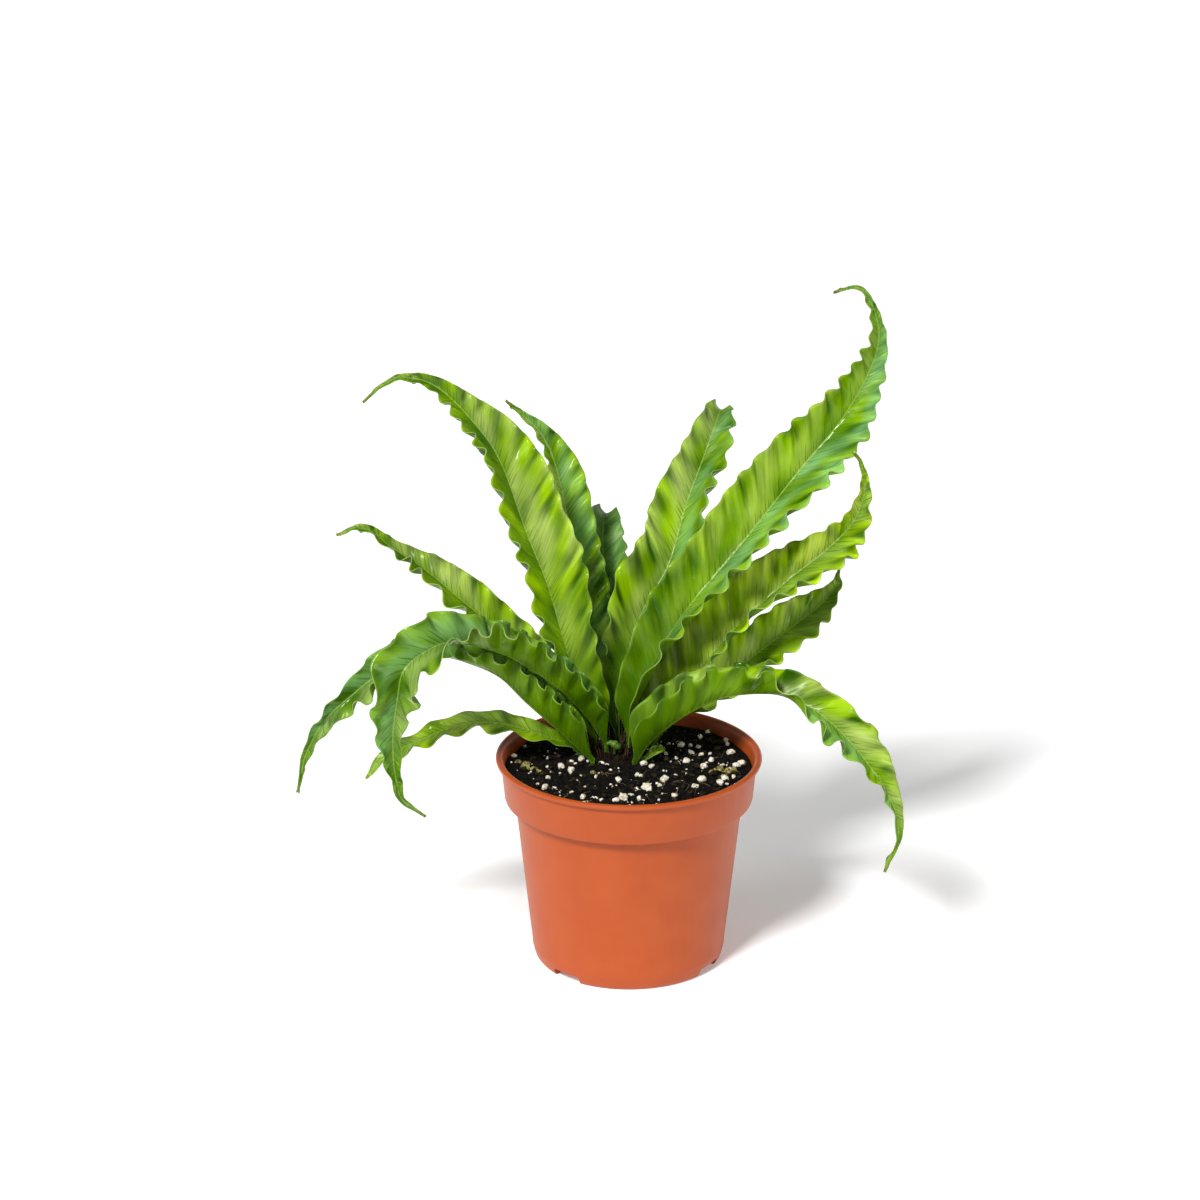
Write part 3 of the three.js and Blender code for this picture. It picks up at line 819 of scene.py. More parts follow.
    def build(self) -> Piece:
        """Builds the blade's mesh and returns the piece."""
        points, values = self._sheet()
        rows, columns = points.shape[:2]
        bpy.ops.mesh.primitive_grid_add(x_subdivisions=columns - 1, y_subdivisions=rows - 1, size=1)
        obj = new_piece(self.name + "_blade")
        settle(obj)
        move_vertices(obj, placed(points.reshape(-1, 3)))
        mesh = obj.data
        for kind in ("along", "wave"):
            layer = mesh.attributes.new(kind, "FLOAT", "POINT")
            layer.data.foreach_set("value", values[kind].ravel())
        corners = np.zeros(len(mesh.loops), int)
        mesh.loops.foreach_get("vertex_index", corners)
        mesh.uv_layers[0].name = "blade"
        place = np.column_stack([values["across"].ravel(), values["up"].ravel()]) * MM
        mesh.uv_layers[0].data.foreach_set("uv", place[corners].ravel())
        group = obj.vertex_groups.new(name="rib")
        least = 0.01
        for index, weight in enumerate(values["rib"].ravel()):
            if weight > least:
                group.add([index], float(weight), "REPLACE")
        self._dress(obj)
        finish_with(
            obj,
            "SOLIDIFY",
            thickness=self.rib_thickness_mm * MM,
            vertex_group="rib",
            thickness_vertex_group=self.blade_thickness_mm / self.rib_thickness_mm,
            offset=0.0,
            material_offset=1,
            material_offset_rim=2,
        )
        bpy.ops.object.shade_smooth()
        return obj

    def _dress(self, obj: Piece) -> None:
        """Gives the blade its glossy upper face, its duller underside and its margin, whose paler
        green is a painted highlight along the edge.
        """
        faces = {
            "upper": LivingLeaf(*self.tone.value),
            # The underside carries a little painted sheen
            "underside": LivingLeaf("#386000", "#7CA804", rib="#9BBB48", painted_light=0.1, wax=0.2),
            # Painted highlight: the margin's paler green stands for light caught on the edge
            "margin": LivingLeaf("#6E9430", "#A8C262", dullest=0.6, roughness=0.5),
        }
        for side, finish in faces.items():
            name = f"leaf_{self.tone.name.lower()}_{side}"
            obj.data.materials.append(bpy.data.materials.get(name) or finish.material(name))


FRONDS = [
    Frond(
        name="frond_right_tall",
        rib=[
            (0.5, 12.5, 87), (6, 17, 107), (20, 26, 133), (43.8, 38, 159.6), (68.5, 50, 189),
            (86, 58, 209), (97.5, 64, 230), (99, 65, 245), (92, 64, 260), (81, 60, 260),
        ],
        half_widths=[9, 13.5, 17, 18.8, 18.6, 14.8, 8.2, 2.6, 0.5],
        folds=[62, 48, 40, 35, 30, 30],
        twists=[10, 29, 30, 49, 66, 85],
        lopsided=[0, 0, 0.02, 0.01, 0.08, 0.06, -0.06, -0.14, 0],
        ruffles=(1.9, 2.0), waves=(12.5, 8.5), phase=0.2, tone=Tone.LUSH,
    ),
    Frond(
        name="frond_left_tall",
        rib=[
            (-9.8, 12.6, 87.5), (-18.5, 16, 105), (-25, 21, 122), (-33, 30, 147),
            (-41.5, 36, 167), (-52, 42, 195), (-63, 44, 211), (-77, 44, 225), (-90, 40, 230),
            (-99, 36, 227), (-105, 33, 222),
        ],
        half_widths=[9, 13.5, 16.6, 16.6, 16.8, 13.8, 6.8, 2.1, 0.5],
        folds=[62, 48, 42, 38, 30, 30],
        twists=[5, -31, -21, -12, -13, -20],
        lopsided=[0, -0.02, 0.1, 0.12, 0.04, -0.1, -0.06, 0, 0],
        ruffles=(1.5, 1.3), waves=(11, 9.5), phase=1.4, tone=Tone.SUNNY,
    ),
    Frond(
        name="frond_middle",
        rib=[
            (-4, 16, 87), (-4, 25, 101), (4, 40, 128.2), (16, 51, 147.7), (23, 60.5, 169.9),
            (30, 68, 188), (35, 75, 200.5), (37, 83, 203.5), (38, 92, 198),
        ],
        half_widths=[8.5, 12.5, 16.2, 18.4, 17.6, 14.6, 11.6, 6.6, 0.5],
        folds=[62, 48, 42, 38, 32, 30],
        twists=[10, 32, 19, 12, 27, 40],
        lopsided=[0, 0, 0, 0.04, 0.13, 0.12, 0.14, 0, 0],
        ruffles=(1.6, 1.6), waves=(12, 10), phase=2.2, tone=Tone.FRESH,
    ),
    Frond(
        name="frond_left_inner",
        rib=[
            (-9, 19, 86.5), (-15.5, 41, 110), (-22, 61, 140.5), (-28, 74, 173), (-35, 80, 192),
            (-45, 82, 202.6), (-50.5, 80, 208),
        ],
        half_widths=[8, 10.5, 14, 15.5, 16.2, 13, 7, 2.8, 0.5],
        folds=[72, 50, 42, 38, 30, 30],
        twists=[15, 0, 3, 7, 7, -10],
        lopsided=[0, 0, -0.04, -0.14, -0.26, -0.16, 0.2, 0.2, 0],
        ruffles=(1.5, 1.5), waves=(11, 9), phase=0.9, tone=Tone.FRESH,
    ),
    Frond(
        name="frond_back",
        rib=[
            (-2.5, 20, 86), (-3, 50, 109), (-10, 74, 134), (-11, 90, 150), (-10, 104, 151.5),
            (-8, 116, 144),
        ],
        half_widths=[6.5, 8, 11, 12.5, 11.5, 8.5, 4.8, 0.5],
        folds=[72, 50, 42, 38, 30, 30],
        twists=[0, 0, 0],
        ruffles=(1.4, 1.4), waves=(10.5, 9.5), phase=2.9, tone=Tone.SHADED,
    ),
    Frond(
        name="frond_right_mid",
        rib=[
            (5, 10.4, 86), (13.8, 18, 95.6), (26, 26, 108.6), (44, 31, 129.2), (64, 35, 147.2),
            (80, 39.5, 159.4), (90, 41, 170.6), (94, 41, 184.6), (92, 38, 195.6), (89, 35, 200.6),
        ],
        half_widths=[8.5, 12.5, 14.6, 15.5, 15.8, 12.4, 6.8, 2.4, 0.5],
        folds=[62, 48, 42, 38, 30, 30],
        twists=[15, 38, 33, 53, 72, 88],
        lopsided=[-0.2, -0.3, -0.22, -0.06, 0.12, 0.24, 0.25, 0.1, 0],
        ruffles=(1.7, 1.9), waves=(11.5, 9), phase=0.5, tone=Tone.LIT_BANDED,
    ),
    Frond(
        name="frond_right_low",
        rib=[
            (9.5, 17, 82.6), (18.5, 23.5, 91), (31, 32.5, 97.5), (46, 42, 107.6),
            (61, 48, 118), (77, 56, 128), (84, 60, 135), (86, 62, 143),
        ],
        half_widths=[7, 10.3, 12, 12.8, 12.6, 11.8, 8.6, 4, 0.5],
        folds=[62, 48, 40, 34, 30, 30],
        twists=[15, 45, 41, 45, 45, 40],
        lopsided=[-0.1, -0.15, -0.05, 0, 0.05, 0.05, 0.05, 0, 0],
        ruffles=(1.6, 1.6), waves=(11.5, 9.5), phase=1.9, tone=Tone.GLOWING,
    ),
    Frond(
        name="frond_right_arching",
        rib=[
            (2.8, -1.5, 82.4), (9, -2, 92.5), (23, -3, 104.5), (38, -6, 113),
            (55, -11, 116.5), (65.5, -15, 115), (77, -20, 109.5), (89.8, -24, 97),
            (101.5, -27, 80), (106, -28, 64), (101, -28, 48),
        ],
        half_widths=[10, 13.4, 13, 10.6, 10.6, 8.5, 4.5, 1.7, 0.5],
        folds=[72, 62, 50, 36, 30, 30],
        twists=[20, 12, -3, -8, 13, 40, 47, 38, 34, 55, 70],
        lopsided=[-0.15, -0.1, 0, 0.05, 0.06, -0.2, -0.32, -0.15, 0],
        ruffles=(1.8, 2.8), waves=(8.8, 15.5), phase=2.4, tone=Tone.FRESH, curl=0.42,
    ),
    Frond(
        name="frond_left_mid",
        rib=[
            (-13.8, 15, 86), (-26, 23, 99), (-39, 29, 112.7), (-52, 31.5, 125.4), (-68, 32, 139.6),
            (-81.5, 36, 150), (-95, 38, 159), (-106.5, 38, 167.5), (-117, 36, 165.5),
        ],
        half_widths=[7, 10.5, 12, 11.6, 12.6, 10, 5.6, 2.6, 0.5],
        folds=[72, 50, 42, 38, 30, 30],
        twists=[-20, -49, -41, -34, -25, -50],
        lopsided=[0, 0, -0.05, -0.12, -0.14, -0.14, -0.1, 0, 0],
        ruffles=(1.7, 1.7), waves=(11.5, 10), phase=0.1, tone=Tone.SUNNY,
    ),
    Frond(
        name="frond_left_arching",
        rib=[
            (-9.5, 7.5, 87), (-17, 4, 100.6), (-27, -1, 113.6), (-39, -6, 125),
            (-50, -13, 134), (-62, -20, 140), (-73, -28, 143), (-86, -37, 137),
            (-89, -41, 126), (-91, -44, 110), (-90, -46, 94), (-87, -46, 85), (-79, -44, 78),
        ],
        half_widths=[8.5, 10.8, 11.6, 13, 13.6, 12.2, 6.2, 2.5, 0.5],
        folds=[72, 62, 52, 38, 30, 30],
        twists=[-35, -30, -13, -13, -16, -30, -45, -52, -53, -64, -70],
        lopsided=[0, 0, -0.02, -0.12, -0.14, -0.06, 0.25, 0, 0],
        ruffles=(1.8, 2.6), waves=(8.8, 14), phase=1.1, tone=Tone.COOL, curl=0.42,
    ),
    Frond(
        name="frond_left_drooping",
        rib=[
            (-15, 1.2, 82.4), (-27.5, -0.2, 95.7), (-40.5, -1.4, 108.6), (-51, -3, 120),
            (-63, -6, 127), (-74, -9, 131), (-86, -12, 131), (-96, -15, 127), (-108, -18, 118.3),
            (-119.5, -20, 107.6), (-126.6, -22, 94.3), (-130.2, -22, 78.5),
        ],
        half_widths=[9.5, 11.5, 11, 9.7, 10.3, 8.2, 4.6, 2.2, 0.5],
        folds=[72, 62, 50, 40, 32, 30],
        twists=[-20, -8, -2, -10, -18, -34, -38, -57, -76, -62, -70],
        lopsided=[0, 0, 0, -0.08, -0.12, -0.18, -0.2, -0.1, 0],
        ruffles=(1.8, 2.4), waves=(8.8, 14), phase=2.0, tone=Tone.COOL, curl=0.42,
    ),
    Frond(
        name="frond_left_low",
        rib=[
            (-19.6, 8, 82.4), (-24, 7, 87), (-32, 6, 90.5), (-42, 4, 95), (-55, 2, 98.5),
            (-69, -1, 98), (-83, -4, 93), (-97, -7, 87), (-104, -9, 79),
        ],
        half_widths=[3, 4.5, 5.7, 6.2, 6.6, 6.2, 5.4, 2.8, 0.5],
        folds=[60, 30, 18, 15, 15, 15],
        twists=[-50, -39, -18, -12, -15, -50],
        lopsided=[0, -0.1, -0.15, -0.15, -0.15, -0.15, -0.1, 0, 0],
        ruffles=(1.8, 1.6), waves=(13, 15), phase=0.6, tone=Tone.GLOWING,
    ),
    Frond(
        name="seedling_leaf",
        rib=[(6.4, 0.5, 83.2), (9.5, 2.4, 85.4), (12, 4.6, 86), (14.3, 6.6, 85.6)],
        half_widths=[1.2, 2.2, 1.8, 0.4],
        folds=[40, 25, 20],
        twists=[20, 30, 40],
        ruffles=(0.3, 0.3), waves=(6, 6), phase=0, tone=Tone.RIPE, step_mm=0.4,
        rib_thickness_mm=0.8, opening_mm=5.0,
    ),
]


@dataclass
class Pot:
    """A round tapered nursery pot: a beaded mouth, a deep band, and a notched foot."""

    sides: int = 176
    underside_mm: float = 4.2
    outline: tuple[Pair, ...] = (
        (34.0, 4.2), (34.5, 0.2), (34.8, 0.0), (36.3, 0.0), (36.9, 0.3), (37.7, 1.4),
        (38.2, 2.9), (38.6, 5.0), (38.75, 5.4), (38.7, 5.9), (45.4, 67.3), (45.7, 67.6),
        (48.7, 68.0), (49.3, 68.4), (49.6, 69.2), (51.0, 83.4), (51.3, 83.7), (52.3, 83.9),
        (52.8, 84.3), (53.0, 84.9), (52.9, 85.5), (52.5, 85.9), (51.9, 86.1), (51.3, 86.1),
        (50.7, 85.8), (50.2, 85.2), (49.7, 83.6), (48.3, 70.4), (44.1, 67.9), (37.9, 9.5),
        (35.3, 5.6),
    )
    notch_bearings: tuple[float, ...] = (-41, 59, 139, 239)  # degrees from the front
    notch_mm: Triple = (13.0, 16.0, 6.8)  # half of the cutting block lies below the foot
    notch_ring_mm: float = 36.0
    notch_round_mm: float = 1.2
    drain_radius_mm: float = 3.6
    drain_ring_mm: float = 22.0
    drains: int = 6
    drain_depth_mm: float = 8.0
    drain_sides: int = 32
    sharpest: float = 35.0  # in degrees, the sharpest edge that is shaded smooth

    def build(self) -> Piece:
        """Builds the pot's mesh and returns the piece."""
        radius, height = self.outline[0]
        centre = placed((0, 0, height))
        bpy.ops.mesh.primitive_circle_add(
            vertices=self.sides, radius=radius * MM, fill_type="NGON", location=centre
        )
        obj = new_piece("nursery_pot")
        settle(obj)
        extrude_rings(obj, self.outline)
        cutters = joined([*self._notches(), *self._drains()], "foot_cutters")
        finish_with(obj, "BOOLEAN", object=cutters, operation="DIFFERENCE", solver="EXACT")
        bpy.data.objects.remove(cutters)
        select_only(obj)
        bpy.ops.object.shade_smooth_by_angle(angle=math.radians(self.sharpest))
        obj.data.materials.clear()
        obj.data.materials.append(MouldedPlastic().material("polypropylene_terracotta"))
        return obj

    def _notches(self) -> list[Piece]:
        """Gives the blocks that cut the foot's notches."""
        made = []
        for bearing in self.notch_bearings:
            angle = math.radians(bearing)
            ring = self.notch_ring_mm
            place = placed((ring * math.sin(angle), -ring * math.cos(angle), 0))
            bpy.ops.mesh.primitive_cube_add(size=1, location=place, rotation=(0, 0, angle))
            block = bpy.context.active_object
            block.scale = [size * MM for size in self.notch_mm]
            settle(block)
            finish_with(block, "BEVEL", width=self.notch_round_mm * MM, segments=4)
            made.append(block)
        return made

    def _drains(self) -> list[Piece]:
        """Gives the pegs that cut the drain holes."""
        made = []
        radius, depth = self.drain_radius_mm * MM, self.drain_depth_mm * MM
        for i in range(self.drains):
            angle = 2 * math.pi * i / self.drains
            ring = self.drain_ring_mm
            place = placed((ring * math.cos(angle), ring * math.sin(angle), self.underside_mm))
            bpy.ops.mesh.primitive_cylinder_add(
                vertices=self.drain_sides, radius=radius, depth=depth, location=place
            )
            settle(bpy.context.active_object)
            made.append(bpy.context.active_object)
        return made


def soil_height(points_mm: Array) -> Array:
    """Gives the soil's broad surface height in mm at points given as rows of x and y."""
    x, y = points_mm[:, 0], points_mm[:, 1]
    waves = np.sin(x / 9 + 1.3) * np.cos(y / 8 - 0.4) + 0.6 * np.sin(x / 4.1 + y / 5.3)
    away = np.hypot(x - CROWN_X_MM, y - CROWN_Y_MM)
    return SOIL_MM + 0.75 * waves + 1.2 * (1 - ease(14, 32, away))


@dataclass(frozen=True)
class Litter:
    """A kind of small lump that lies on the soil, modelled a few times and then copied."""

    name: str
    matter: str
    finish: Mottled
    detail: int
    rough: float
    seeds: tuple[float, ...]  # one for each lump that is modelled
    flatness: float  # a copy's height as a share of its length
    sink: float  # how deep it sits, as a share of half its length

    def patterns(self) -> list[Piece]:
        """Models the rough lumps, 1 mm in radius."""
        made = []
        for seed in self.seeds:
            bpy.ops.mesh.primitive_ico_sphere_add(subdivisions=self.detail, radius=MM)
            obj = new_piece("lump")
            points = vertices_of(obj)
            swell = 1 + self.rough * noise_at(points / MM, size=0.9, seed=seed)
            move_vertices(obj, points * swell[:, None])
            bpy.ops.object.shade_smooth()
            made.append(obj)
        return made


# Rock glass puffed by heat: matt, cream and knobbly
PERLITE = Litter(
    "perlite_grains", "expanded_perlite",
    Mottled("#A89C80", "#F4EEE0", patch_mm=1.1, roughness=0.85, relief_mm=0.3),
    detail=3, rough=0.42, seeds=(1.7, 4.2, 7.9, 11.3, 15.1), flatness=0.72, sink=0.35,
)
# Rotted bark: brown-black and damp, so that it shines a little
BARK = Litter(
    "bark_crumbs", "composted_bark",
    Mottled("#050403", "#2C2114", patch_mm=3.0, roughness=0.6, relief_mm=0.4),
    detail=2, rough=0.6, seeds=(2.3, 5.6, 9.4, 13.8), flatness=0.55, sink=0.3,
)
# Dried moss: tan to olive, and dull
MOSS = Litter(
    "moss_clumps", "dry_moss",
    Mottled("#3E3A1C", "#A39A5C", patch_mm=1.2, roughness=0.95, relief_mm=0.5),
    detail=3, rough=0.7, seeds=(3.3, 6.1), flatness=0.6, sink=0.4,
)


@dataclass
class Soil:
    """Damp peat that fills the pot, with perlite grains, bark crumbs and fine roots on it."""

    radius_mm: float = 48.9
    open_mm: float = 48.0  # how far out the loose pieces lie
    cells: int = 230
    under: tuple[Pair, ...] = ((48.0, 71.0), (43.8, 67.8), (37.5, 9.6), (34.6, 6.0))
    seed: int = 5
    # The grains that stand out: x, y and length
    marked_grains: tuple[Triple, ...] = (
        (-33, -22, 3.0), (-29, -24, 2.6), (-23, -5, 3.4), (-19, 6, 3.6), (-23, 4, 2.8),
        (-27, 0, 3.0), (-18, -30, 2.6), (-11, -33, 2.2), (-11, 0, 2.6), (-4, -15, 2.8),
        (7, -19, 4.4), (14, -13, 3.6), (3, -23, 2.2), (1, -27, 2.6), (-2, -32, 4.2),
        (-5, -33, 3.0), (4, -34, 2.4), (18, -28, 3.0), (6, -3, 3.2), (9, -4, 2.2),
        (29, -14, 3.8), (38, -12, 3.4), (36, -18, 3.0), (26, -23, 3.0), (30, 2, 3.0),
        (33, 8, 2.4), (29, 11, 2.2), (28, 20, 2.0), (29, 30, 2.6), (32, 34, 2.4),
        (39, 24, 2.6), (41, 14, 3.6), (45, 3, 3.4), (43, 1, 3.2), (40, -3, 3.4),
        (23, 6, 2.8), (21, 20, 3.2), (25, 14, 3.2), (-32, 9, 2.4), (-46, 9, 2.4),
        (-42, 21, 1.8), (-38, 28, 2.0),
    )
    moss: tuple[Triple, ...] = (
        (-41, 0, 4.2), (-38, -3, 3.6), (-44, 3, 3.0), (-36, -5, 3.0), (39, -5, 4.4),
        (36, -2, 3.6), (42, -2, 3.0), (33, -5, 2.6), (-14, -8, 2.4),
    )
    small_grains: int = 190
    crumbs: int = 520
    roots: int = 60
    root_points: int = 10

    def build(self) -> list[Piece]:
        """Builds the soil and what lies on it, and returns the pieces, the bed first."""
        grains = [*self.marked_grains, *self._places(self.small_grains, smallest=0.5, largest=2.2, seed=21)]
        crumbs = self._places(self.crumbs, smallest=0.8, largest=3.2, seed=33)
        return [
            self._bed(),
            self._strewn(PERLITE, grains),
            self._strewn(BARK, crumbs),
            self._strewn(MOSS, self.moss),
            self._roots(),
        ]

    def surface(self, points_mm: Array) -> Array:
        """Gives the bed's rough surface height in mm at rows of x and y."""
        flat = np.column_stack([points_mm, np.zeros(len(points_mm))])
        lumps = noise_at(flat, size=7.0, seed=3.1, octaves=2)
        crumbs = noise_at(flat, size=2.2, seed=8.3)
        return soil_height(points_mm) + 1.0 * lumps + 1.3 * crumbs

    def _bed(self) -> Piece:
        """Builds the bed, a plug whose top is rough peat."""
        bpy.ops.mesh.primitive_grid_add(x_subdivisions=self.cells, y_subdivisions=self.cells, size=2)
        obj = new_piece("peat_bed")
        settle(obj)
        square = vertices_of(obj)
        u, v = square[:, 0], square[:, 1]
        disc = np.column_stack([u * np.sqrt(1 - v * v / 2), v * np.sqrt(1 - u * u / 2)])
        flat = disc * self.radius_mm
        # The crumb dies out over the last twelfth of the radius, so that the edge is even
        crumb = np.clip((1 - np.linalg.norm(disc, axis=1)) * 12, 0, 1)
        top = soil_height(flat) + (self.surface(flat) - soil_height(flat)) * crumb
        move_vertices(obj, placed(np.column_stack([flat, top])))
        extrude_rings(obj, [(self.radius_mm, SOIL_MM), *self.under])
        bpy.ops.object.shade_smooth()
        # Damp milled peat: nearly black, crumbly and matt
        peat = Mottled("#020202", "#0F0C08", patch_mm=1.6, roughness=0.8, relief_mm=0.6)
        obj.data.materials.append(peat.material("damp_peat"))
        return obj

    def _strewn(self, kind: Litter, places: list[Triple] | tuple[Triple, ...]) -> Piece:
        """Lays copies of lumps on the bed and joins them into one piece.

        Args:
            kind: What lies there.
            places: The x, y and length of each copy, in mm.

        Returns:
            The joined piece.
        """
        dice = random.Random(self.seed)
        patterns = kind.patterns()
        tops = self.surface(np.array([place[:2] for place in places]))
        made = []
        for (x, y, length), top in zip(places, tops):
            twin = copied(dice.choice(patterns))
            half = length / 2
            high = half * kind.flatness
            twin.scale = (half, half * dice.uniform(0.62, 0.9), high * dice.uniform(0.8, 1.2))
            tilts = (dice.uniform(-0.5, 0.5), dice.uniform(-0.5, 0.5))
            twin.rotation_euler = (*tilts, dice.uniform(0, 6.28))
            twin.location = placed((x, y, top + high * (1 - kind.sink)))
            made.append(twin)
        for pattern in patterns:
            bpy.data.objects.remove(pattern)
        piece = joined(made, kind.name)
        settle(piece)
        piece.data.materials.append(kind.finish.material(kind.matter))
        return piece

    def _places(self, count: int, smallest: float, largest: float, seed: int) -> list[Triple]:
        """Draws places on the open soil, clear of the crown.

        Args:
            count: How many places.
            smallest: The least length of what lies there, in mm.
            largest: The greatest length, in mm.
            seed: The seed of the draw.

        Returns:
            The x, y and length of each, in mm.
        """
        dice = random.Random(seed)
        crown_mm = 11
        drawn = []
        while len(drawn) < count:
            away = (self.open_mm - 1) * math.sqrt(dice.random())
            bearing = dice.uniform(0, 2 * math.pi)
            x, y = away * math.cos(bearing), away * math.sin(bearing)
            length = smallest + (largest - smallest) * dice.random() ** 2
            clear = math.hypot(x - CROWN_X_MM, y - CROWN_Y_MM) > crown_mm
            if clear and away + length / 2 < self.open_mm:
                drawn.append((x, y, length))
        return drawn

    def _roots(self) -> Piece:
        """Lays fine roots and fibres on the surface."""
        dice = random.Random(7)
        made = []
        for x, y, length in self._places(self.roots, smallest=4.0, largest=11.0, seed=45):
            heading = dice.uniform(0, 2 * math.pi)
            bend = dice.uniform(-0.25, 0.25)
            path = []
            for _ in range(self.root_points):
                path.append((x, y))
                heading += bend + dice.uniform(-0.2, 0.2)
                x += math.cos(heading) * length / self.root_points
                y += math.sin(heading) * length / self.root_points
            flat = np.array(path)
            if np.linalg.norm(flat, axis=1).max() > self.open_mm - 0.5:
                continue
            arch = np.sin(np.linspace(0, math.pi, self.root_points))
            lift = 0.15 + arch * dice.uniform(0, 1)
            points = placed(np.column_stack([flat, self.surface(flat) + lift]))
            made.append(strand(points, dice.uniform(0.1, 0.22) * MM))
        piece = joined(made, "fine_roots")
        # Dead root fibre: brown to straw, dry and dull
        fibre = Mottled("#2A1E14", "#7A6648", patch_mm=4.0, roughness=0.8, relief_mm=0.1)
        piece.data.materials.append(fibre.material("root_fibre"))
        return piece


def strand(points: Array, radius: float, sides: int = 5) -> Piece:
    """Sweeps a thin round strand along points; it tapers to a point at both ends.

    Args:
        points: The strand's middle line, in metres.
        radius: Its radius at the middle, in metres.
        sides: How many sides it has.

    Returns:
        The strand.
    """
    count = len(points)
    bpy.ops.mesh.primitive_grid_add(x_subdivisions=sides, y_subdivisions=count - 1, size=1)
    obj = new_piece("strand")
    ahead = np.gradient(points, axis=0)
    ahead /= np.linalg.norm(ahead, axis=1)[:, None]
    first = np.cross(ahead, (0.13, 0.21, 1.0))
    first /= np.linalg.norm(first, axis=1)[:, None]
    second = np.cross(ahead, first)
    turn = np.linspace(0, 2 * math.pi, sides + 1)[None, :, None]
    thick = radius * np.sin(np.linspace(0, math.pi, count)) ** 0.4
    ring = first[:, None, :] * np.cos(turn) + second[:, None, :] * np.sin(turn)
    move_vertices(obj, (points[:, None, :] + ring * thick[:, None, None]).reshape(-1, 3))
    select_only(obj)
    bpy.ops.object.mode_set(mode="EDIT")
    bpy.ops.mesh.select_all(action="SELECT")
    bpy.ops.mesh.remove_doubles(threshold=1e-6)
    bpy.ops.mesh.normals_make_consistent(inside=False)
    bpy.ops.object.mode_set(mode="OBJECT")
    bpy.ops.object.shade_smooth()
    return obj


@dataclass
class Crown:
    """The short fibrous stem that the fronds grow from, with dark papery scales."""

    radius_mm: float = 12.5
    top_mm: float = 84.5
    middle_mm: float = 78.0
    rough: float = 0.16
    scales: int = 90
    scales_out_mm: float = 11.0
    scales_foot_mm: float = 84.0  # in the middle
    scales_drop_mm: float = 3.0  # how much lower the outer ones stand
    scale_points: int = 7

    def build(self) -> list[Piece]:
        """Builds the mound and its scales and returns them."""
        return [self._mound(), self._scales()]

    def _mound(self) -> Piece:
        """Builds the rough mound."""
        bpy.ops.mesh.primitive_ico_sphere_add(subdivisions=6, radius=1)
        obj = new_piece("crown_mound")
        ball = vertices_of(obj)
        swell = 1 + self.rough * noise_at(ball, size=0.35, seed=4.4, octaves=4)
        size = np.array([self.radius_mm, self.radius_mm, self.top_mm - self.middle_mm]) * MM
        centre = placed((CROWN_X_MM, CROWN_Y_MM, self.middle_mm))
        move_vertices(obj, ball * swell[:, None] * size + centre)
        select_only(obj)
        bpy.ops.object.shade_smooth()
        # Matted root felt: nearly black and dull
        felt = Mottled("#050302", "#20160E", patch_mm=1.4, roughness=0.9, relief_mm=0.5)
        obj.data.materials.append(felt.material("fibrous_crown"))
        return obj

    def _scales(self) -> Piece:
        """Builds thin pointed scales that stand between the leaf bases."""
        dice = random.Random(3)
        rise = np.array([0, 0, 1.0])
        made = []
        for _ in range(self.scales):
            away = self.scales_out_mm * math.sqrt(dice.random())
            bearing = dice.uniform(0, 2 * math.pi)
            x = CROWN_X_MM + away * math.cos(bearing)
            y = CROWN_Y_MM + away * math.sin(bearing)
            foot = self.scales_foot_mm - self.scales_drop_mm * (away / self.scales_out_mm) ** 2
            length = dice.uniform(3, 7)
            lean = dice.uniform(0, 0.6)
            steps = np.linspace(0, 1, self.scale_points)[:, None]
            out = np.array([math.cos(bearing), math.sin(bearing), 0]) * lean
            line = np.array([x, y, foot]) + length * steps * (rise + out * steps)
            made.append(strand(placed(line), dice.uniform(0.18, 0.4) * MM, 4))
        piece = joined(made, "crown_scales")
        # Dry papery scales: dark to tan brown, with a faint satin
        papery = Mottled("#120B07", "#4E3A28", patch_mm=5.0, roughness=0.7, relief_mm=0.1)
        piece.data.materials.append(papery.material("papery_scales"))
        return piece


@dataclass
class Sprout:
    """A young frond that is still a curled bud on a short stalk."""

    x_mm: float = -5.8
    y_mm: float = 5.8
    foot_mm: float = 82.0
    bud_mm: float = 86.5
    stalk_radius_mm: float = 0.7
    # The bud's lobes: x and y from the stalk, height and radius
    lobes: tuple[tuple[float, float, float, float], ...] = (
        (0.2, -0.3, 87.8, 1.7), (-1.5, -0.2, 88.6, 1.1), (-2.6, -0.3, 88.2, 0.9),
        (1.4, -0.8, 87.2, 1.4), (0.4, -0.4, 86.2, 1.0),
    )

    def build(self) -> Piece:
        """Builds the bud and returns the piece."""
        made = []
        for x, y, z, radius in self.lobes:
            place = placed((self.x_mm + x, self.y_mm + y, z))
            bpy.ops.mesh.primitive_uv_sphere_add(radius=radius * MM, location=place)
            made.append(bpy.context.active_object)
        height = self.bud_mm - self.foot_mm
        place = placed((self.x_mm, self.y_mm, self.foot_mm + height / 2))
        radius = self.stalk_radius_mm * MM
        bpy.ops.mesh.primitive_cylinder_add(radius=radius, depth=height * MM, location=place)
        made.append(bpy.context.active_object)
        for lump in made:
            settle(lump)
        obj = joined(made, "sprout_bud")
        finish_with(obj, "REMESH", mode="VOXEL", voxel_size=0.16 * MM)
        finish_with(obj, "SMOOTH", factor=0.8, iterations=6)
        bpy.ops.object.shade_smooth()
        # Young tissue: deep green and satin
        green = Mottled("#2E5006", "#557C1C", patch_mm=2.0, roughness=0.4, relief_mm=0.1, shine=0.4)
        obj.data.materials.append(green.material("young_frond"))
        return obj


# The studio


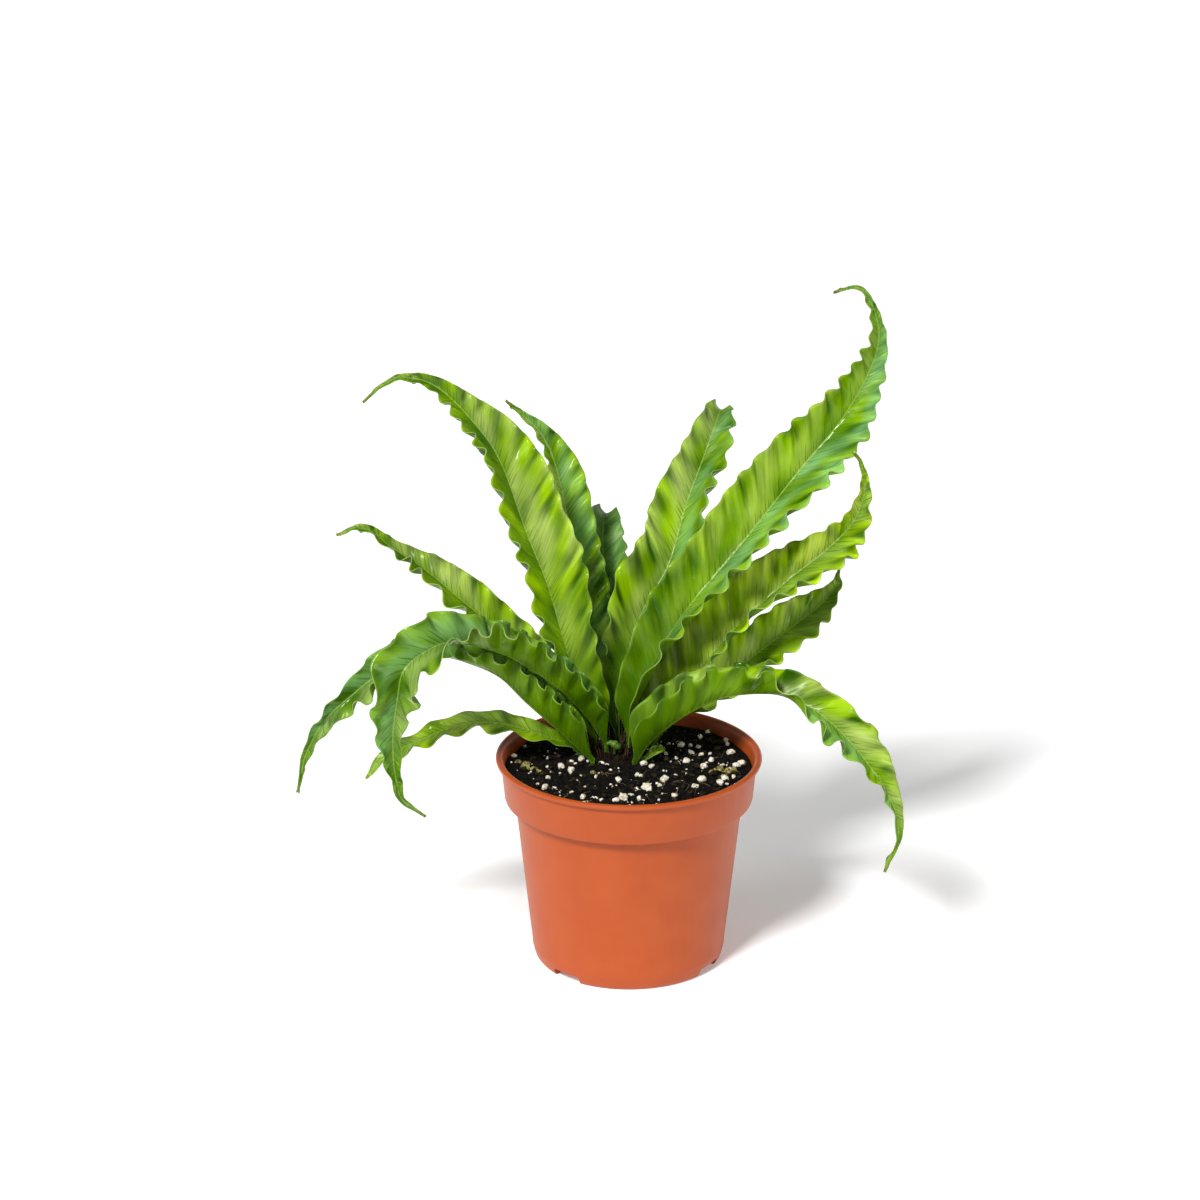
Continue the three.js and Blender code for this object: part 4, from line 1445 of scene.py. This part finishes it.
@dataclass
class Studio:
    """A pale paper sweep, a pale surround, soft lights and the camera."""

    surround: float = 0.19
    camera_mm: Triple = (0.0, -1400.0, 667.0)
    pitch: float = 20.22  # degrees down
    yaw: float = 0.47  # degrees to the left
    lens: float = 114.12
    # Each light's name, the direction to it, its watts for each square metre, and how wide it
    # looks from the plant, in degrees
    lights: tuple[tuple[str, Triple, float, float], ...] = (
        ("key", (-0.45, -0.82, 0.95), 3.5, 12),
        ("left", (-0.88, -0.47, 0.45), 0.8, 26),
        ("right", (0.88, -0.47, 0.42), 0.9, 26),
    )
    paper_glow: float = 0.15
    paper_m: float = 24.0
    paper_cells: int = 60
    sweep_m: Pair = (7.0, 12.0)  # how far off the paper starts to rise, and how far off it ends
    sweep_rise_m: float = 2.0
    sight_m: float = 30.0  # how far the camera sees

    def build(self) -> None:
        """Builds all of the studio."""
        self._floor()
        self._surround()
        for light in self.lights:
            self._softbox(*light)
        self._camera()
        bpy.context.scene.view_settings.view_transform = "Standard"

    def _floor(self) -> None:
        """Adds the floor, a wide sheet of paper that rises gently far from the plant."""
        cells = self.paper_cells
        bpy.ops.mesh.primitive_grid_add(x_subdivisions=cells, y_subdivisions=cells, size=self.paper_m)
        floor = new_piece("floor")
        points = vertices_of(floor)
        away = np.linalg.norm(points[:, :2], axis=1)
        points[:, 2] = self.sweep_rise_m * ease(*self.sweep_m, away)
        move_vertices(floor, points)
        # Uncoated white paper: matt, with a faint glow of its own that keeps it from greying
        material, tree = new_material("white_paper")
        look = {
            "Base Color": linear("#F7F7F7"),
            "Roughness": 0.9,
            "Specular IOR Level": 0.1,
            "Emission Color": linear("#FFFFFF"),
            "Emission Strength": self.paper_glow,
        }
        add_node(tree, "OutputMaterial", {"Surface": add_node(tree, "BsdfPrincipled", look)})
        floor.data.materials.append(material)

    def _surround(self) -> None:
        """Lights the scene evenly from all round."""
        world = bpy.data.worlds.new("white_surround")
        world.use_nodes = True
        tree = world.node_tree
        tree.nodes.clear()
        look = {"Color": linear("#FFFFFF"), "Strength": self.surround}
        add_node(tree, "OutputWorld", {"Surface": add_node(tree, "Background", look)})
        bpy.context.scene.world = world

    def _softbox(self, name: str, toward: Triple, strength: float, across: float) -> None:
        """Adds a large soft light.

        Args:
            name: The light's name.
            toward: The direction from the plant to the light.
            strength: Its strength, in watts for each square metre.
            across: How wide it looks from the plant, in degrees.
        """
        data = bpy.data.lights.new(name, "SUN")
        data.energy = strength
        data.angle = math.radians(across)
        light = bpy.data.objects.new(name, data)
        bpy.context.scene.collection.objects.link(light)
        light.rotation_euler = Vector(toward).to_track_quat("Z", "Y").to_euler()

    def _camera(self) -> None:
        """Adds the camera at the photograph's angle."""
        data = bpy.data.cameras.new("camera")
        data.lens = self.lens
        data.clip_end = self.sight_m
        camera = bpy.data.objects.new("camera", data)
        bpy.context.scene.collection.objects.link(camera)
        camera.location = placed(self.camera_mm)
        camera.rotation_euler = (math.radians(90 - self.pitch), 0, math.radians(self.yaw))
        bpy.context.scene.camera = camera


def main() -> None:
    """Builds the classes in order and reports each piece."""
    logging.basicConfig(level=logging.INFO, format="%(name)s: %(message)s")
    Studio().build()
    hand_over(Pot().build(), Slot.POT, "pot")
    bed, *strewn = Soil().build()
    hand_over(bed, Slot.SOIL, "soil")
    for piece in strewn:
        hand_over(piece, Slot.SOIL)
    mound, scales = Crown().build()
    hand_over(mound, Slot.CROWN, "crown")
    hand_over(scales, Slot.CROWN)
    hand_over(Sprout().build(), Slot.LEAF, "sprout")
    for frond in FRONDS:
        hand_over(frond.build(), Slot.LEAF, frond.name)


if __name__ == "__main__":
    main()
